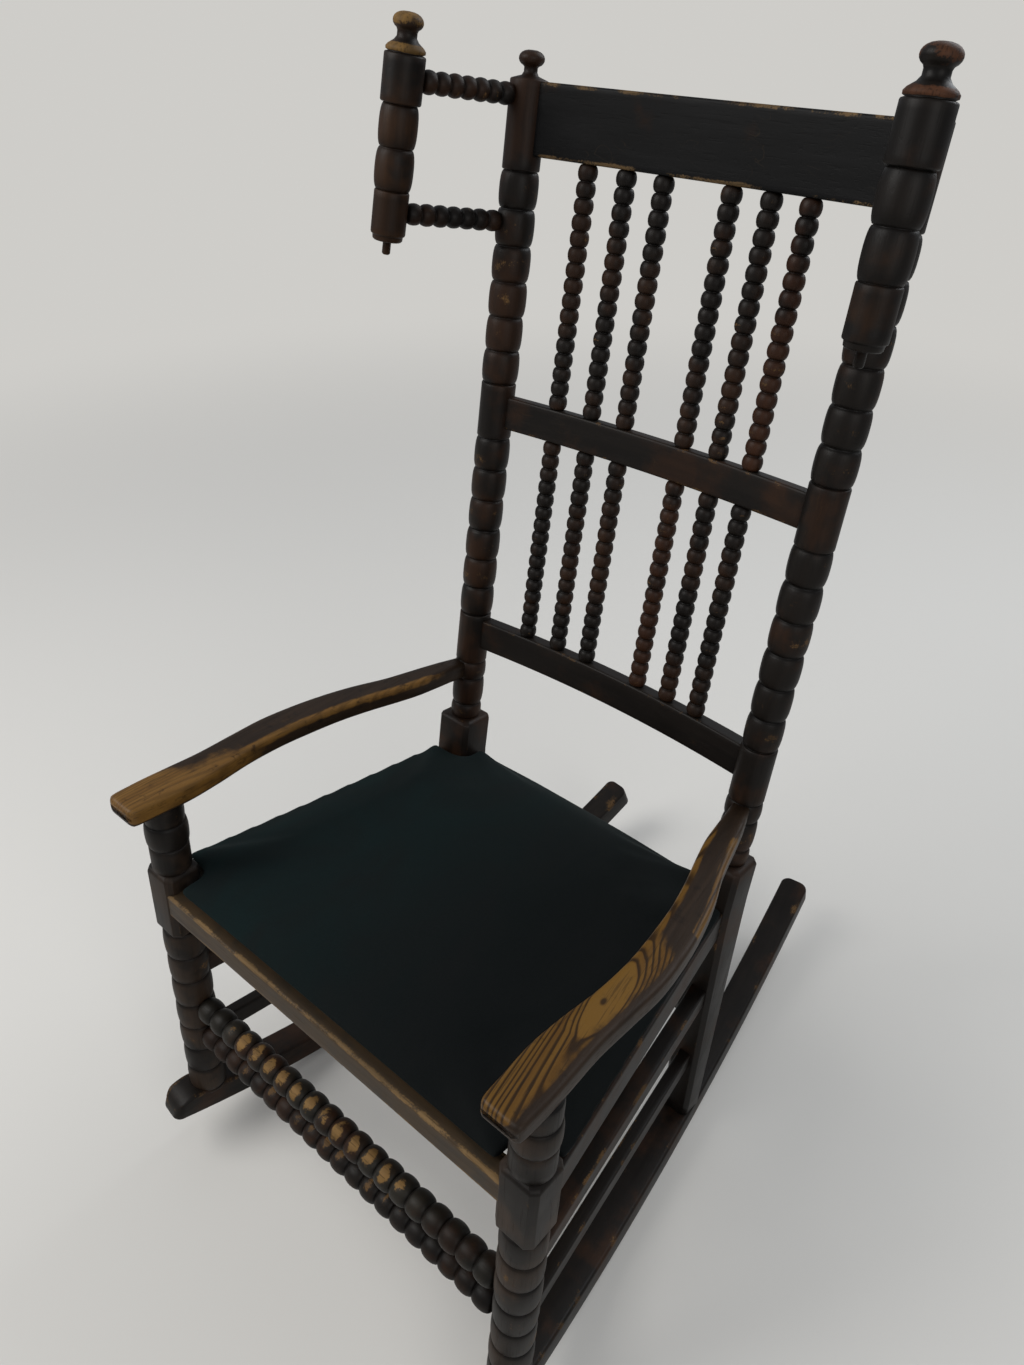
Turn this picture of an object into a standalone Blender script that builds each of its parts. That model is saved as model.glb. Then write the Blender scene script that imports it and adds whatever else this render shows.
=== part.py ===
"""Bobbin-turned rocking chair with two head wings.

The seat, legs and arms are square to each other in a chair frame, which leans back on the rockers.
A back frame inside it leans a little more and carries the raked back and the head wings.
Metres, +Z up, the front towards -Y, the origin on the floor under the middle of the rockers.
"""

import math

import bmesh
import bpy
from mathutils import Matrix, Vector

# Fits and small edges
FIT = 0.0003
SOFT_EDGE = 0.0015
SUNK = 0.0008

# Frames
SEAT_TILT = math.radians(5.4)
BACK_LEAN = math.radians(4.8)
SEAT_LEVEL = 0.374

# Rockers
ROCKER_LENGTH = 0.787
ROCKER_WIDTH = 0.036
ROCKER_HEIGHT = 0.032
ROCKER_RADIUS = 1.100
ROCKER_LOW_Y = -0.008
ROCKER_FLAT = 0.110
ROCKER_STEPS = 7
ROCKER_CORNER = 0.009
ROCKER_CORNER_STEPS = 3
ROCKER_TOP_EDGE = 0.004
ROCKER_NOSE_LENGTH = 0.032
ROCKER_NOSE_DROP = 0.023
ROCKER_NOSE_STEPS = 3

# Front legs
FRONT_LEG_X = 0.238
FRONT_LEG_Y = -0.343
FRONT_LEG_RADIUS = 0.0216
FRONT_LEG_GROOVE = 0.0185
FRONT_LEG_BEADS = 7
FRONT_BLOCK_WIDTH = 0.041
FRONT_BLOCK_HEIGHT = 0.085
FRONT_BLOCK_RISE = 0.021
FRONT_BLOCK_SHOULDER = 0.0065
FRONT_BLOCK_CHAMFER = 0.006
FRONT_FOOT_HEIGHT = 0.004
FRONT_FOOT_RADIUS = 0.0200
LEG_NECK_HEIGHT = 0.031
LEG_NECK_BEAD_HEIGHT = 0.0287
LEG_NECK_RADIUS = 0.0198
LEG_TOP_BEAD_HEIGHT = 0.025

# Back legs and posts
BACK_POST_X = 0.185
BACK_LEG_Y = 0.032
BACK_FOOT_X = 0.1945
BACK_LEG_WIDTH = 0.046
BACK_FOOT_WIDTH = 0.034
BACK_LEG_CHAMFER = 0.005
BACK_BLOCK_RISE = 0.050
POST_RADIUS = 0.0186
POST_GROOVE = 0.0148
POST_CYLINDER_RADIUS = 0.0178
POST_SMALL_BEAD_HEIGHT = 0.018
POST_ARM_BEAD_HEIGHT = 0.023
POST_BEADS = 6
POST_FINIAL_HEIGHT = 0.0225
POST_NECK_RADIUS = 0.0062
POST_BUTTON_RADIUS = 0.0118

# Tenons of legs, posts and arms
TENON_RADIUS = 0.008
TENON_LENGTH = 0.015

# Back rails: middle up the back, height, thickness, and the plain turning beyond each edge
CREST_UP = 0.686
CREST_HEIGHT = 0.060
CREST_THICK = 0.016
CREST_LOW_MARGIN = 0.013
CREST_TOP_MARGIN = 0.001
MIDDLE_UP = 0.4195
MIDDLE_HEIGHT = 0.033
MIDDLE_THICK = 0.014
MIDDLE_MARGIN = 0.0115
LOWER_UP = 0.1635
LOWER_HEIGHT = 0.035
LOWER_THICK = 0.017
LOWER_LOW_MARGIN = 0.0200
LOWER_TOP_MARGIN = 0.0060
BACK_RAIL_HOUSING = 0.011
RAIL_BOW = 0.0145
RAIL_STEPS = 8

# Spindles
SPINDLE_XS = (-0.1137, -0.0734, -0.0349, 0.0322, 0.0702, 0.1065)
SPINDLE_RADIUS = 0.0093
SPINDLE_GROOVE = 0.0056
SPINDLE_BEADS = 16
SPINDLE_TENON_RADIUS = 0.0042
SPINDLE_TENON_LENGTH = 0.008

# Head wings
WING_X = 0.226
WING_FORWARD = 0.118
WING_TOP = 0.752
WING_BUTTON_HEIGHT = 0.024
WING_COLLAR_HEIGHT = 0.006
WING_CYLINDER_HEIGHT = 0.037
WING_BEAD_HEIGHT = 0.034
WING_RING_HEIGHT = 0.005
WING_PEG_HEIGHT = 0.012
WING_RADIUS = 0.0178
WING_BEAD_RADIUS = 0.0172
WING_LOWER_RADIUS = 0.0158
WING_GROOVE = 0.0138
WING_NECK_RADIUS = 0.0085
WING_BUTTON_RADIUS = 0.0130
WING_PEG_RADIUS = 0.0038
WING_ROD_RADIUS = 0.0096
WING_ROD_GROOVE = 0.0060
WING_ROD_BEADS = 7
WING_ROD_TENON_RADIUS = 0.0046
WING_ROD_TENON_LENGTH = 0.009
WING_ROD_CLEARANCE = 0.0008
WING_LEAN = {"left": math.radians(4.5), "right": 0.0}

# Arms: stations from the front end back, each with its share of the way from the front leg to the back post,
# how far its middle stands out from the line between them, and its width
ARM_STATIONS = (
    (-0.120, -0.0086, 0.0375),
    (-0.032, -0.0045, 0.0405),
    (0.048, -0.0015, 0.0411),
    (0.141, 0.0040, 0.0374),
    (0.248, 0.0128, 0.0347),
    (0.355, 0.0195, 0.0354),
    (0.461, 0.0215, 0.0351),
    (0.557, 0.0208, 0.0335),
    (0.648, 0.0171, 0.0320),
    (0.741, 0.0107, 0.0292),
    (0.808, 0.0076, 0.0285),
    (0.875, 0.0061, 0.0258),
    (0.931, 0.0048, 0.0225),
)
ARM_MIDDLE = 0.490
ARM_THICK = 0.020
ARM_BEVEL = 0.0045
ARM_TENON_WIDTH = 0.016
ARM_STEPS = 2

# Seat frame and stretchers
SEAT_RAIL_THICK = 0.022
FRONT_RAIL_HEIGHT = 0.0285
SIDE_RAIL_HEIGHT = 0.038
FRONT_RAIL_SETBACK = 0.0010
FRONT_RAIL_HOUSING = 0.010
SIDE_RAIL_HOUSING = 0.008
SIDE_RAIL_FRONT_OUT = 0.0060
SIDE_RAIL_BACK_OUT = 0.0030
BACK_RAIL_Y = 0.028
FRONT_STRETCHER_UPPER = 0.195
FRONT_STRETCHER_LOWER = 0.151
FRONT_STRETCHER_RADIUS = 0.0145
FRONT_STRETCHER_GROOVE = 0.0095
FRONT_STRETCHER_BEADS = 20
FRONT_STRETCHER_TENON_RADIUS = 0.0065
FRONT_STRETCHER_TENON_LENGTH = 0.0155
FRONT_STRETCHER_CLEARANCE = 0.0012
SIDE_STRETCHER_UPPER = 0.241
SIDE_STRETCHER_UPPER_THICK = 0.018
SIDE_STRETCHER_UPPER_HEIGHT = 0.026
SIDE_STRETCHER_UPPER_OUT = 0.0025
SIDE_STRETCHER_LOWER = 0.131
SIDE_STRETCHER_LOWER_THICK = 0.014
SIDE_STRETCHER_LOWER_HEIGHT = 0.024
SIDE_STRETCHER_HOUSING = 0.011
BACK_STRETCHER_UP = 0.195
BACK_STRETCHER_THICK = 0.014
BACK_STRETCHER_HEIGHT = 0.022

# Seat
BOARD_THICK = 0.006
BOARD_INSET = 0.012
PAD_FRONT_SETBACK = 0.0025
PAD_SIDE_OVERHANG = 0.0055
PAD_DRAW_IN = 0.002
PAD_BACK_OVERHANG = 0.001
PAD_EDGE_HEIGHT = 0.014
PAD_CROWN = 0.013
PAD_ROLL = 0.006
PAD_CLEARANCE = 0.002
PAD_CUTS = 12
CORNER_BLOCK_HEIGHT = 0.020
CORNER_BLOCK_NEAR = 0.044
CORNER_BLOCK_FAR = 0.072
SCREW_RADIUS = 0.0021
SCREW_HEAD_RADIUS = 0.0042
SCREW_HEAD_HEIGHT = 0.0026
SCREW_BITE = 0.004

# Facets round a turning
POST_SIDES = 10
STRETCHER_SIDES = 8
SPINDLE_SIDES = 6

SIDES = {"left": -1, "right": 1}


class Frame:
    """A place that pieces are measured from: an empty, and its world matrix."""

    def __init__(self, name, matrix, parent=None):
        self.matrix = parent.matrix @ matrix if parent else matrix
        self.empty = bpy.data.objects.new(name, None)
        self.empty.parent = parent.empty if parent else None
        self.empty.matrix_basis = matrix
        pieces.objects.link(self.empty)


def clear_scene():
    """Removes what the file starts with."""
    for obj in list(bpy.data.objects):
        bpy.data.objects.remove(obj)


def new_collection(name):
    """A collection in the scene."""
    collection = bpy.data.collections.new(name)
    bpy.context.scene.collection.children.link(collection)
    return collection


def finish(name, colour, roughness, metallic=0.0):
    """A plain material: colour, roughness and metallic value."""
    material = bpy.data.materials.new(name)
    material.use_nodes = True
    shader = material.node_tree.nodes["Principled BSDF"]
    shader.inputs["Base Color"].default_value = (*colour, 1.0)
    shader.inputs["Roughness"].default_value = roughness
    shader.inputs["Metallic"].default_value = metallic
    return material


def add_piece(name, bm, frame, place, material):
    """A named piece from a bmesh, placed in a frame."""
    mesh = bpy.data.meshes.new(name)
    bm.to_mesh(mesh)
    bm.free()
    mesh.materials.append(material)
    obj = bpy.data.objects.new(name, mesh)
    obj.parent = frame.empty
    obj.matrix_basis = place
    pieces.objects.link(obj)
    return obj


def add_helper(name, bm):
    """A body in world space that a Boolean uses. It isn't a piece of the chair."""
    bmesh.ops.recalc_face_normals(bm, faces=bm.faces)
    mesh = bpy.data.meshes.new(name)
    bm.to_mesh(mesh)
    bm.free()
    obj = bpy.data.objects.new(name, mesh)
    obj.hide_render = True
    obj.display_type = "WIRE"
    cutters.objects.link(obj)
    return obj


def add_boolean(target, helper, operation):
    """Joins a helper to a piece, or cuts it from the piece."""
    modifier = target.modifiers.new(helper.name, "BOOLEAN")
    modifier.operation = operation
    modifier.object = helper
    modifier.solver = "EXACT"


def sockets_of(target):
    """The world-space mesh of everything that is cut from one piece."""
    if target not in sockets:
        sockets[target] = bmesh.new()
    return sockets[target]


def cut_box(target, matrix, size):
    """Cuts a box, grown by the fit on every side, from a piece."""
    grown = Matrix.Diagonal((*(s + 2 * FIT for s in size), 1.0))
    bmesh.ops.create_cube(sockets_of(target), size=1.0, matrix=matrix @ grown)


def cut_round(target, matrix, radius, length, sides):
    """Cuts a round hole, grown by the fit, from a piece: it starts at the matrix and runs along its Z."""
    facets = Matrix.Rotation(-math.pi / 2, 4, "Z")
    bmesh.ops.create_cone(
        sockets_of(target), cap_ends=True, segments=sides, radius1=radius + FIT, radius2=radius + FIT,
        depth=length + 2 * FIT, matrix=matrix @ Matrix.Translation((0, 0, length / 2)) @ facets,
    )


def cut_mesh(target, bm, matrix):
    """Cuts a body of its own shape from a piece."""
    bmesh.ops.transform(bm, matrix=matrix, verts=bm.verts)
    mesh = bpy.data.meshes.new("cut")
    bm.to_mesh(mesh)
    bm.free()
    sockets_of(target).from_mesh(mesh)
    bpy.data.meshes.remove(mesh)


def along(start, end, axis):
    """A matrix at start whose axis, X or Z, runs to end, and whose other axes stay as level as they can."""
    run = (Vector(end) - Vector(start)).normalized()
    if axis == "X":
        side = Vector((0, 0, 1)).cross(run).normalized()
        columns = (run, side, run.cross(side))
    else:
        hint = Vector((1, 0, 0)) if abs(run.x) < 0.7 else Vector((0, 0, 1))
        side = run.cross(hint).normalized()
        columns = (side.cross(run), side, run)
    return Matrix.Translation(start) @ Matrix(columns).transposed().to_4x4()


def box_mesh(size):
    """A box about its middle."""
    bm = bmesh.new()
    bmesh.ops.create_cube(bm, size=1.0, matrix=Matrix.Diagonal((*size, 1.0)))
    return bm


def soften(bm, edges, offset, segments=1):
    """Bevels edges."""
    bmesh.ops.bevel(
        bm, geom=edges, offset=offset, segments=segments, profile=0.5, affect="EDGES", clamp_overlap=True
    )


def prism_mesh(outline, low, high):
    """A flat outline of (x, y) points raised from low to high."""
    bm = bmesh.new()
    face = bm.faces.new([bm.verts.new((x, y, low)) for x, y in outline])
    sweep(bm, face, Matrix.Translation((0, 0, high - low)))
    bmesh.ops.recalc_face_normals(bm, faces=bm.faces)
    return bm


def sweep(bm, face, matrix):
    """Extrudes a face to where the matrix takes it, and returns the new end face."""
    moved = bmesh.ops.extrude_face_region(bm, geom=[face, *face.edges])["geom"]
    bmesh.ops.transform(bm, matrix=matrix, verts=[v for v in moved if isinstance(v, bmesh.types.BMVert)])
    return next(f for f in moved if isinstance(f, bmesh.types.BMFace))


def octagon(width, tall, low_cut, high_cut):
    """The corners, about the middle, of a rectangle whose low and high corners are cut off at 45 degrees."""
    x, y = width / 2, tall / 2
    return [
        (low_cut - x, -y), (x - low_cut, -y), (x, low_cut - y), (x, y - high_cut),
        (x - high_cut, y), (high_cut - x, y), (-x, y - high_cut), (-x, low_cut - y),
    ]


def regular(width):
    """The corners of a regular octagon, measured across its flats."""
    cut = width * (1 - math.sqrt(0.5))
    return octagon(width, width, cut, cut)


def loft_mesh(rings):
    """A closed body through rings that have the same number of points."""
    bm = bmesh.new()
    loops = [[bm.verts.new(point) for point in ring] for ring in rings]
    for near, far in zip(loops, loops[1:]):
        for n in range(len(near)):
            after = (n + 1) % len(near)
            bm.faces.new((near[n], near[after], far[after], far[n]))
    bm.faces.new(loops[0])
    bm.faces.new(loops[-1])
    bmesh.ops.recalc_face_normals(bm, faces=bm.faces)
    return bm


def bar(name, frame, start, end, thick, tall, into):
    """A straight bar of rectangular section, housed with its full section in the pieces that it goes into."""
    length = (Vector(end) - Vector(start)).length
    size = (length, thick, tall)
    place = along(start, end, "X") @ Matrix.Translation((length / 2, 0, 0))
    for target in into:
        cut_box(target, frame.matrix @ place, size)
    bm = box_mesh(size)
    soften(bm, bm.edges[:], SOFT_EDGE)
    add_piece(name, bm, frame, place, dark_wood)


def beads(start, end, count, radius, groove, points):
    """Profile points (distance, radius) of a row of beads, each with a number of points between its grooves."""
    pitch = (end - start) / count
    profile = []
    for n in range(count):
        profile.append((start + n * pitch, groove))
        for k in range(1, points + 1):
            turn = k / (points + 1)
            swell = math.sqrt(math.sin(math.pi * turn))
            profile.append((start + (n + turn) * pitch, groove + (radius - groove) * swell))
    return profile + [(end, groove)]


def turned(name, frame, start, end, profile, sides):
    """A turned piece on the line from start to end. The profile gives its radius by distance from start."""
    bm = bmesh.new()
    points = [(profile[0][0], 0.0), *profile, (profile[-1][0], 0.0)]
    verts = [bm.verts.new((radius, 0, distance)) for distance, radius in reversed(points)]
    for upper, lower in zip(verts, verts[1:]):
        bm.edges.new((upper, lower))
    obj = add_piece(name, bm, frame, along(start, end, "Z"), dark_wood)
    screw = obj.modifiers.new("turning", "SCREW")
    screw.axis = "Z"
    screw.steps = sides
    screw.render_steps = sides
    screw.use_merge_vertices = True
    screw.merge_threshold = 0.00001
    screw.use_smooth_shade = True
    return obj


def beaded_rod(name, frame, start, end, tenon, shoulder, count, sizes, sides, into):
    """A bobbin rod from tenon tip to tenon tip.

    The tenon is (radius, length), the shoulder is its bare length outside its hole, sizes are (bead, groove).
    """
    length = (Vector(end) - Vector(start)).length
    radius, depth = tenon
    first, last = depth + shoulder, length - depth - shoulder
    profile = [(0, radius), (first, radius), *beads(first, last, count, *sizes, 1), (last, radius), (length, radius)]
    for target in into:
        cut_round(target, frame.matrix @ along(start, end, "Z"), radius, length, sides)
    turned(name, frame, start, end, profile, sides)


def rocker_flat_turn():
    """Half the angle that the flat at a rocker's lowest point takes from its arc."""
    return math.asin(ROCKER_FLAT / 2 / ROCKER_RADIUS)


def rocker_hub():
    """Height above the floor of the centre of the rockers' arc, when they stand on their flats."""
    return ROCKER_RADIUS * math.cos(rocker_flat_turn())


def rocker_top(y):
    """Height of a rocker's top above the floor, at a distance along it from the middle."""
    inner = ROCKER_RADIUS - ROCKER_HEIGHT
    return rocker_hub() - math.sqrt(inner**2 - (y - ROCKER_LOW_Y) ** 2)


def on_floor(depth, level):
    """World Y of a point that is at a depth and a height in the chair frame."""
    return depth * math.cos(SEAT_TILT) + level * math.sin(SEAT_TILT)


def foot_level(depth, half):
    """Height in the chair frame of a flat foot at a depth, sunk until all its underside bears on the rocker."""
    levels = []
    for edge in (depth - half, depth + half):
        level = 0.0
        for _ in range(8):
            level = (rocker_top(on_floor(edge, level)) + edge * math.sin(SEAT_TILT)) / math.cos(SEAT_TILT)
        levels.append(level)
    return min(levels) - SUNK


def rocker_tip(sign):
    """Angle on the arc, from its lowest point, of a rocker's front tip (-1) or rear tip (1)."""
    return math.asin((ROCKER_LENGTH / 2 - sign * ROCKER_LOW_Y) / ROCKER_RADIUS)


def nose_height(turn):
    """Height of a rocker at an angle on its arc. Its top falls in an arc at the front tip."""
    past = (turn + rocker_tip(-1)) * ROCKER_RADIUS
    share = min(1.0, max(0.0, 1 - past / ROCKER_NOSE_LENGTH))
    return ROCKER_HEIGHT - ROCKER_NOSE_DROP * (1 - math.sqrt(1 - share**2))


def rocker_sections():
    """Angle on the arc and width of each section of a rocker, from its front tip to its rear tip."""
    flat, corner = rocker_flat_turn(), ROCKER_CORNER / ROCKER_RADIUS
    sections = []
    for sign in (-1, 1):
        tip = rocker_tip(sign)
        nose = max(ROCKER_NOSE_LENGTH, 2 * ROCKER_CORNER) / ROCKER_RADIUS if sign < 0 else corner
        step = (tip - nose - flat) / ROCKER_STEPS
        half = [(sign * (flat + step * n), ROCKER_WIDTH) for n in range(ROCKER_STEPS + 1)]
        if sign < 0:
            fall = (nose - corner) / ROCKER_NOSE_STEPS
            half += [(fall * n - tip + corner, ROCKER_WIDTH) for n in reversed(range(ROCKER_NOSE_STEPS))]
        for n in range(1, ROCKER_CORNER_STEPS + 1):
            turn = math.pi / 2 * n / ROCKER_CORNER_STEPS
            place = sign * (tip - corner * (1 - math.sin(turn)))
            half.append((place, ROCKER_WIDTH - 2 * ROCKER_CORNER * (1 - math.cos(turn))))
        sections += half if sign > 0 else half[::-1]
    return sections


def build_rocker(side):
    """One rocker: a bar bent to a long arc, with a flat at its lowest point, rounded ends and a nose in front."""
    hub = Matrix.Translation((0, ROCKER_LOW_Y, rocker_hub()))
    rings = []
    for turn, width in rocker_sections():
        height = nose_height(turn)
        share = min(width / ROCKER_WIDTH, height / ROCKER_HEIGHT)
        corners = octagon(width, height, SOFT_EDGE * share, ROCKER_TOP_EDGE * share)
        place = hub @ Matrix.Rotation(turn, 4, "X")
        rings.append([place @ Vector((x, 0, z + height / 2 - ROCKER_RADIUS)) for x, z in corners])
    bm = loft_mesh(rings)
    front_y, back_y = on_floor(FRONT_LEG_Y, front_foot), on_floor(BACK_LEG_Y, back_foot)
    toe = math.atan2(FRONT_LEG_X - BACK_FOOT_X, back_y - front_y)
    middle_x = BACK_FOOT_X + back_y * math.tan(toe)
    place = Matrix.Translation((SIDES[side] * middle_x, 0, 0)) @ Matrix.Rotation(SIDES[side] * toe, 4, "Z")
    add_piece(f"rocker_{side}", bm, floor, place, dark_wood)


def build_front_leg(side):
    """A front leg: beads from the rocker to a square block at the seat, then a neck and two beads to the arm.

    The neck and the two beads share the room between block and arm, each by its own height.
    """
    name, x = f"front_leg_{side}", SIDES[side] * FRONT_LEG_X
    block_top = SEAT_LEVEL + FRONT_BLOCK_RISE
    block_low = block_top - FRONT_BLOCK_HEIGHT
    top = ARM_MIDDLE - ARM_THICK / 2 - FIT
    stretch = (top - block_top) / (LEG_NECK_HEIGHT + LEG_NECK_BEAD_HEIGHT + LEG_TOP_BEAD_HEIGHT)
    neck_top = block_top + LEG_NECK_HEIGHT * stretch
    bead_low = top - LEG_TOP_BEAD_HEIGHT * stretch
    sizes = (FRONT_LEG_RADIUS, FRONT_LEG_GROOVE)
    profile = [
        (front_foot - TENON_LENGTH, TENON_RADIUS),
        (front_foot, TENON_RADIUS),
        (front_foot, FRONT_FOOT_RADIUS),
        (front_foot + FRONT_FOOT_HEIGHT - SOFT_EDGE, FRONT_FOOT_RADIUS),
        *beads(front_foot + FRONT_FOOT_HEIGHT, block_low + SUNK, FRONT_LEG_BEADS, *sizes, 2),
        (block_low + FRONT_BLOCK_HEIGHT / 2, FRONT_LEG_GROOVE),
        (block_top - SUNK, LEG_NECK_RADIUS),
        (neck_top - SOFT_EDGE, LEG_NECK_RADIUS),
        *beads(neck_top, bead_low, 1, *sizes, 2),
        *beads(bead_low, top, 1, LEG_NECK_RADIUS, FRONT_LEG_GROOVE, 2)[1:],
        (top, TENON_RADIUS),
        (top + TENON_LENGTH, TENON_RADIUS),
    ]
    base = Vector((x, FRONT_LEG_Y, 0))
    leg = turned(name, chair, base, base + Vector((0, 0, 1)), profile, POST_SIDES)
    block = box_mesh((FRONT_BLOCK_WIDTH, FRONT_BLOCK_WIDTH, FRONT_BLOCK_HEIGHT))
    uprights = [e for e in block.edges if abs(e.verts[0].co.z - e.verts[1].co.z) > FIT]
    soften(block, uprights, FRONT_BLOCK_CHAMFER)
    rims = [e for e in block.edges if abs(e.verts[0].co.z - e.verts[1].co.z) < FIT]
    soften(block, rims, FRONT_BLOCK_SHOULDER, 2)
    middle = chair.matrix @ Matrix.Translation((x, FRONT_LEG_Y, (block_low + block_top) / 2))
    bmesh.ops.transform(block, matrix=middle, verts=block.verts)
    add_boolean(leg, add_helper(f"{name}_block", block), "UNION")
    foot = chair.matrix @ Matrix.Translation((x, FRONT_LEG_Y, front_foot))
    cut_round(f"rocker_{side}", foot, FRONT_FOOT_RADIUS, ROCKER_HEIGHT, POST_SIDES)
    tenon = foot @ Matrix.Translation((0, 0, -TENON_LENGTH))
    cut_round(f"rocker_{side}_tenons", tenon, TENON_RADIUS, ROCKER_HEIGHT, POST_SIDES)
    crown = chair.matrix @ Matrix.Translation((x, FRONT_LEG_Y, top - TENON_LENGTH))
    cut_round(f"arm_{side}", crown, TENON_RADIUS, 2 * TENON_LENGTH, POST_SIDES)


def post_profile():
    """The turned part of a back post, from inside its block to the top of its button."""
    bead_low = BACK_BLOCK_RISE + POST_SMALL_BEAD_HEIGHT
    lower_low = LOWER_UP - LOWER_HEIGHT / 2 - LOWER_LOW_MARGIN
    lower_top = LOWER_UP + LOWER_HEIGHT / 2 + LOWER_TOP_MARGIN
    middle_low = MIDDLE_UP - MIDDLE_HEIGHT / 2 - MIDDLE_MARGIN
    middle_top = MIDDLE_UP + MIDDLE_HEIGHT / 2 + MIDDLE_MARGIN
    crest_low = CREST_UP - CREST_HEIGHT / 2 - CREST_LOW_MARGIN
    crest_top = CREST_UP + CREST_HEIGHT / 2 + CREST_TOP_MARGIN
    sizes = (POST_RADIUS, POST_GROOVE)
    return [
        (BACK_BLOCK_RISE / 4, POST_GROOVE),
        *beads(BACK_BLOCK_RISE - SUNK, bead_low, 1, POST_CYLINDER_RADIUS, POST_GROOVE, 1),
        *beads(bead_low, lower_low - POST_ARM_BEAD_HEIGHT, 1, *sizes, 2)[1:],
        *beads(lower_low - POST_ARM_BEAD_HEIGHT, lower_low, 1, *sizes, 2)[1:],
        (lower_low + SOFT_EDGE, POST_CYLINDER_RADIUS),
        (lower_top - SOFT_EDGE, POST_CYLINDER_RADIUS),
        *beads(lower_top, middle_low, POST_BEADS, *sizes, 2),
        (middle_low + SOFT_EDGE, POST_CYLINDER_RADIUS),
        (middle_top - SOFT_EDGE, POST_CYLINDER_RADIUS),
        *beads(middle_top, crest_low, POST_BEADS, *sizes, 2),
        (crest_low + SOFT_EDGE, POST_CYLINDER_RADIUS),
        (crest_top, POST_CYLINDER_RADIUS),
        (crest_top + POST_FINIAL_HEIGHT * 0.30, POST_NECK_RADIUS),
        (crest_top + POST_FINIAL_HEIGHT * 0.52, POST_NECK_RADIUS),
        (crest_top + POST_FINIAL_HEIGHT * 0.66, POST_BUTTON_RADIUS),
        (crest_top + POST_FINIAL_HEIGHT * 0.84, POST_BUTTON_RADIUS),
        (crest_top + POST_FINIAL_HEIGHT, POST_BUTTON_RADIUS / 2),
    ]


def build_back_post(side):
    """A back post: a square leg and block below, turned above, with plain cylinders where the rails enter."""
    name, sign = f"back_post_{side}", SIDES[side]
    base = Vector((sign * BACK_POST_X, 0, 0))
    post = turned(name, back, base, base + Vector((0, 0, 1)), post_profile(), POST_SIDES)
    foot = Matrix.Translation((sign * BACK_FOOT_X, BACK_LEG_Y, back_foot))
    seat = Matrix.Translation((sign * BACK_POST_X, BACK_LEG_Y, SEAT_LEVEL))
    raked = chair.matrix.inverted() @ back.matrix @ Matrix.Translation(base)
    square = octagon(BACK_LEG_WIDTH, BACK_LEG_WIDTH, BACK_LEG_CHAMFER, BACK_LEG_CHAMFER)
    small = octagon(BACK_FOOT_WIDTH, BACK_FOOT_WIDTH, BACK_LEG_CHAMFER, BACK_LEG_CHAMFER)
    rim = BACK_LEG_WIDTH - 2 * BACK_LEG_CHAMFER
    tenon = regular(2 * TENON_RADIUS)
    stack = (
        (foot, tenon, -TENON_LENGTH),
        (foot, tenon, 0.0),
        (foot, small, 0.0),
        (seat, square, 0.0),
        (raked, square, BACK_BLOCK_RISE - BACK_LEG_CHAMFER),
        (raked, octagon(rim, rim, BACK_LEG_CHAMFER / 2, BACK_LEG_CHAMFER / 2), BACK_BLOCK_RISE),
    )
    leg = loft_mesh([[place @ Vector((x, y, up)) for x, y in ring] for place, ring, up in stack])
    bmesh.ops.transform(leg, matrix=chair.matrix, verts=leg.verts)
    add_boolean(post, add_helper(f"{name}_leg", leg), "UNION")
    hole = regular(2 * TENON_RADIUS + 2 * FIT)
    rings = [[Vector((x, y, up)) for x, y in hole] for up in (-TENON_LENGTH - FIT, ROCKER_HEIGHT)]
    cut_mesh(f"rocker_{side}_tenons", loft_mesh(rings), chair.matrix @ foot)
    notch = chair.matrix @ foot @ Matrix.Translation((0, 0, ROCKER_HEIGHT / 2))
    cut_box(f"rocker_{side}", notch, (3 * ROCKER_WIDTH, BACK_FOOT_WIDTH, ROCKER_HEIGHT))


def bow(x):
    """How far the back rails bow to the rear of the line between the posts, at a distance from the middle."""
    return RAIL_BOW * (1 - (x / BACK_POST_X) ** 2)


def rail_mesh(reach, up, thick, tall):
    """A back rail: a bar that reaches as far to both sides and bows to the rear between the posts."""
    rings = []
    for n in range(RAIL_STEPS + 1):
        x = reach * (2 * n / RAIL_STEPS - 1)
        corners = octagon(thick, tall, SOFT_EDGE, SOFT_EDGE)
        rings.append([Vector((x, bow(x) + y, up + z)) for y, z in corners])
    return loft_mesh(rings)


def build_back_rails():
    """The crest, middle and lower rails of the back, housed in the posts."""
    reach = BACK_POST_X - POST_CYLINDER_RADIUS + BACK_RAIL_HOUSING
    rails = {
        "crest_rail": (CREST_UP, CREST_THICK, CREST_HEIGHT),
        "middle_back_rail": (MIDDLE_UP, MIDDLE_THICK, MIDDLE_HEIGHT),
        "lower_back_rail": (LOWER_UP, LOWER_THICK, LOWER_HEIGHT),
    }
    for name, (up, thick, tall) in rails.items():
        add_piece(name, rail_mesh(reach, up, thick, tall), back, Matrix.Identity(4), dark_wood)
        for side in SIDES:
            housing = rail_mesh(reach + FIT, up, thick + 2 * FIT, tall + 2 * FIT)
            cut_mesh(f"back_post_{side}", housing, back.matrix)


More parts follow.
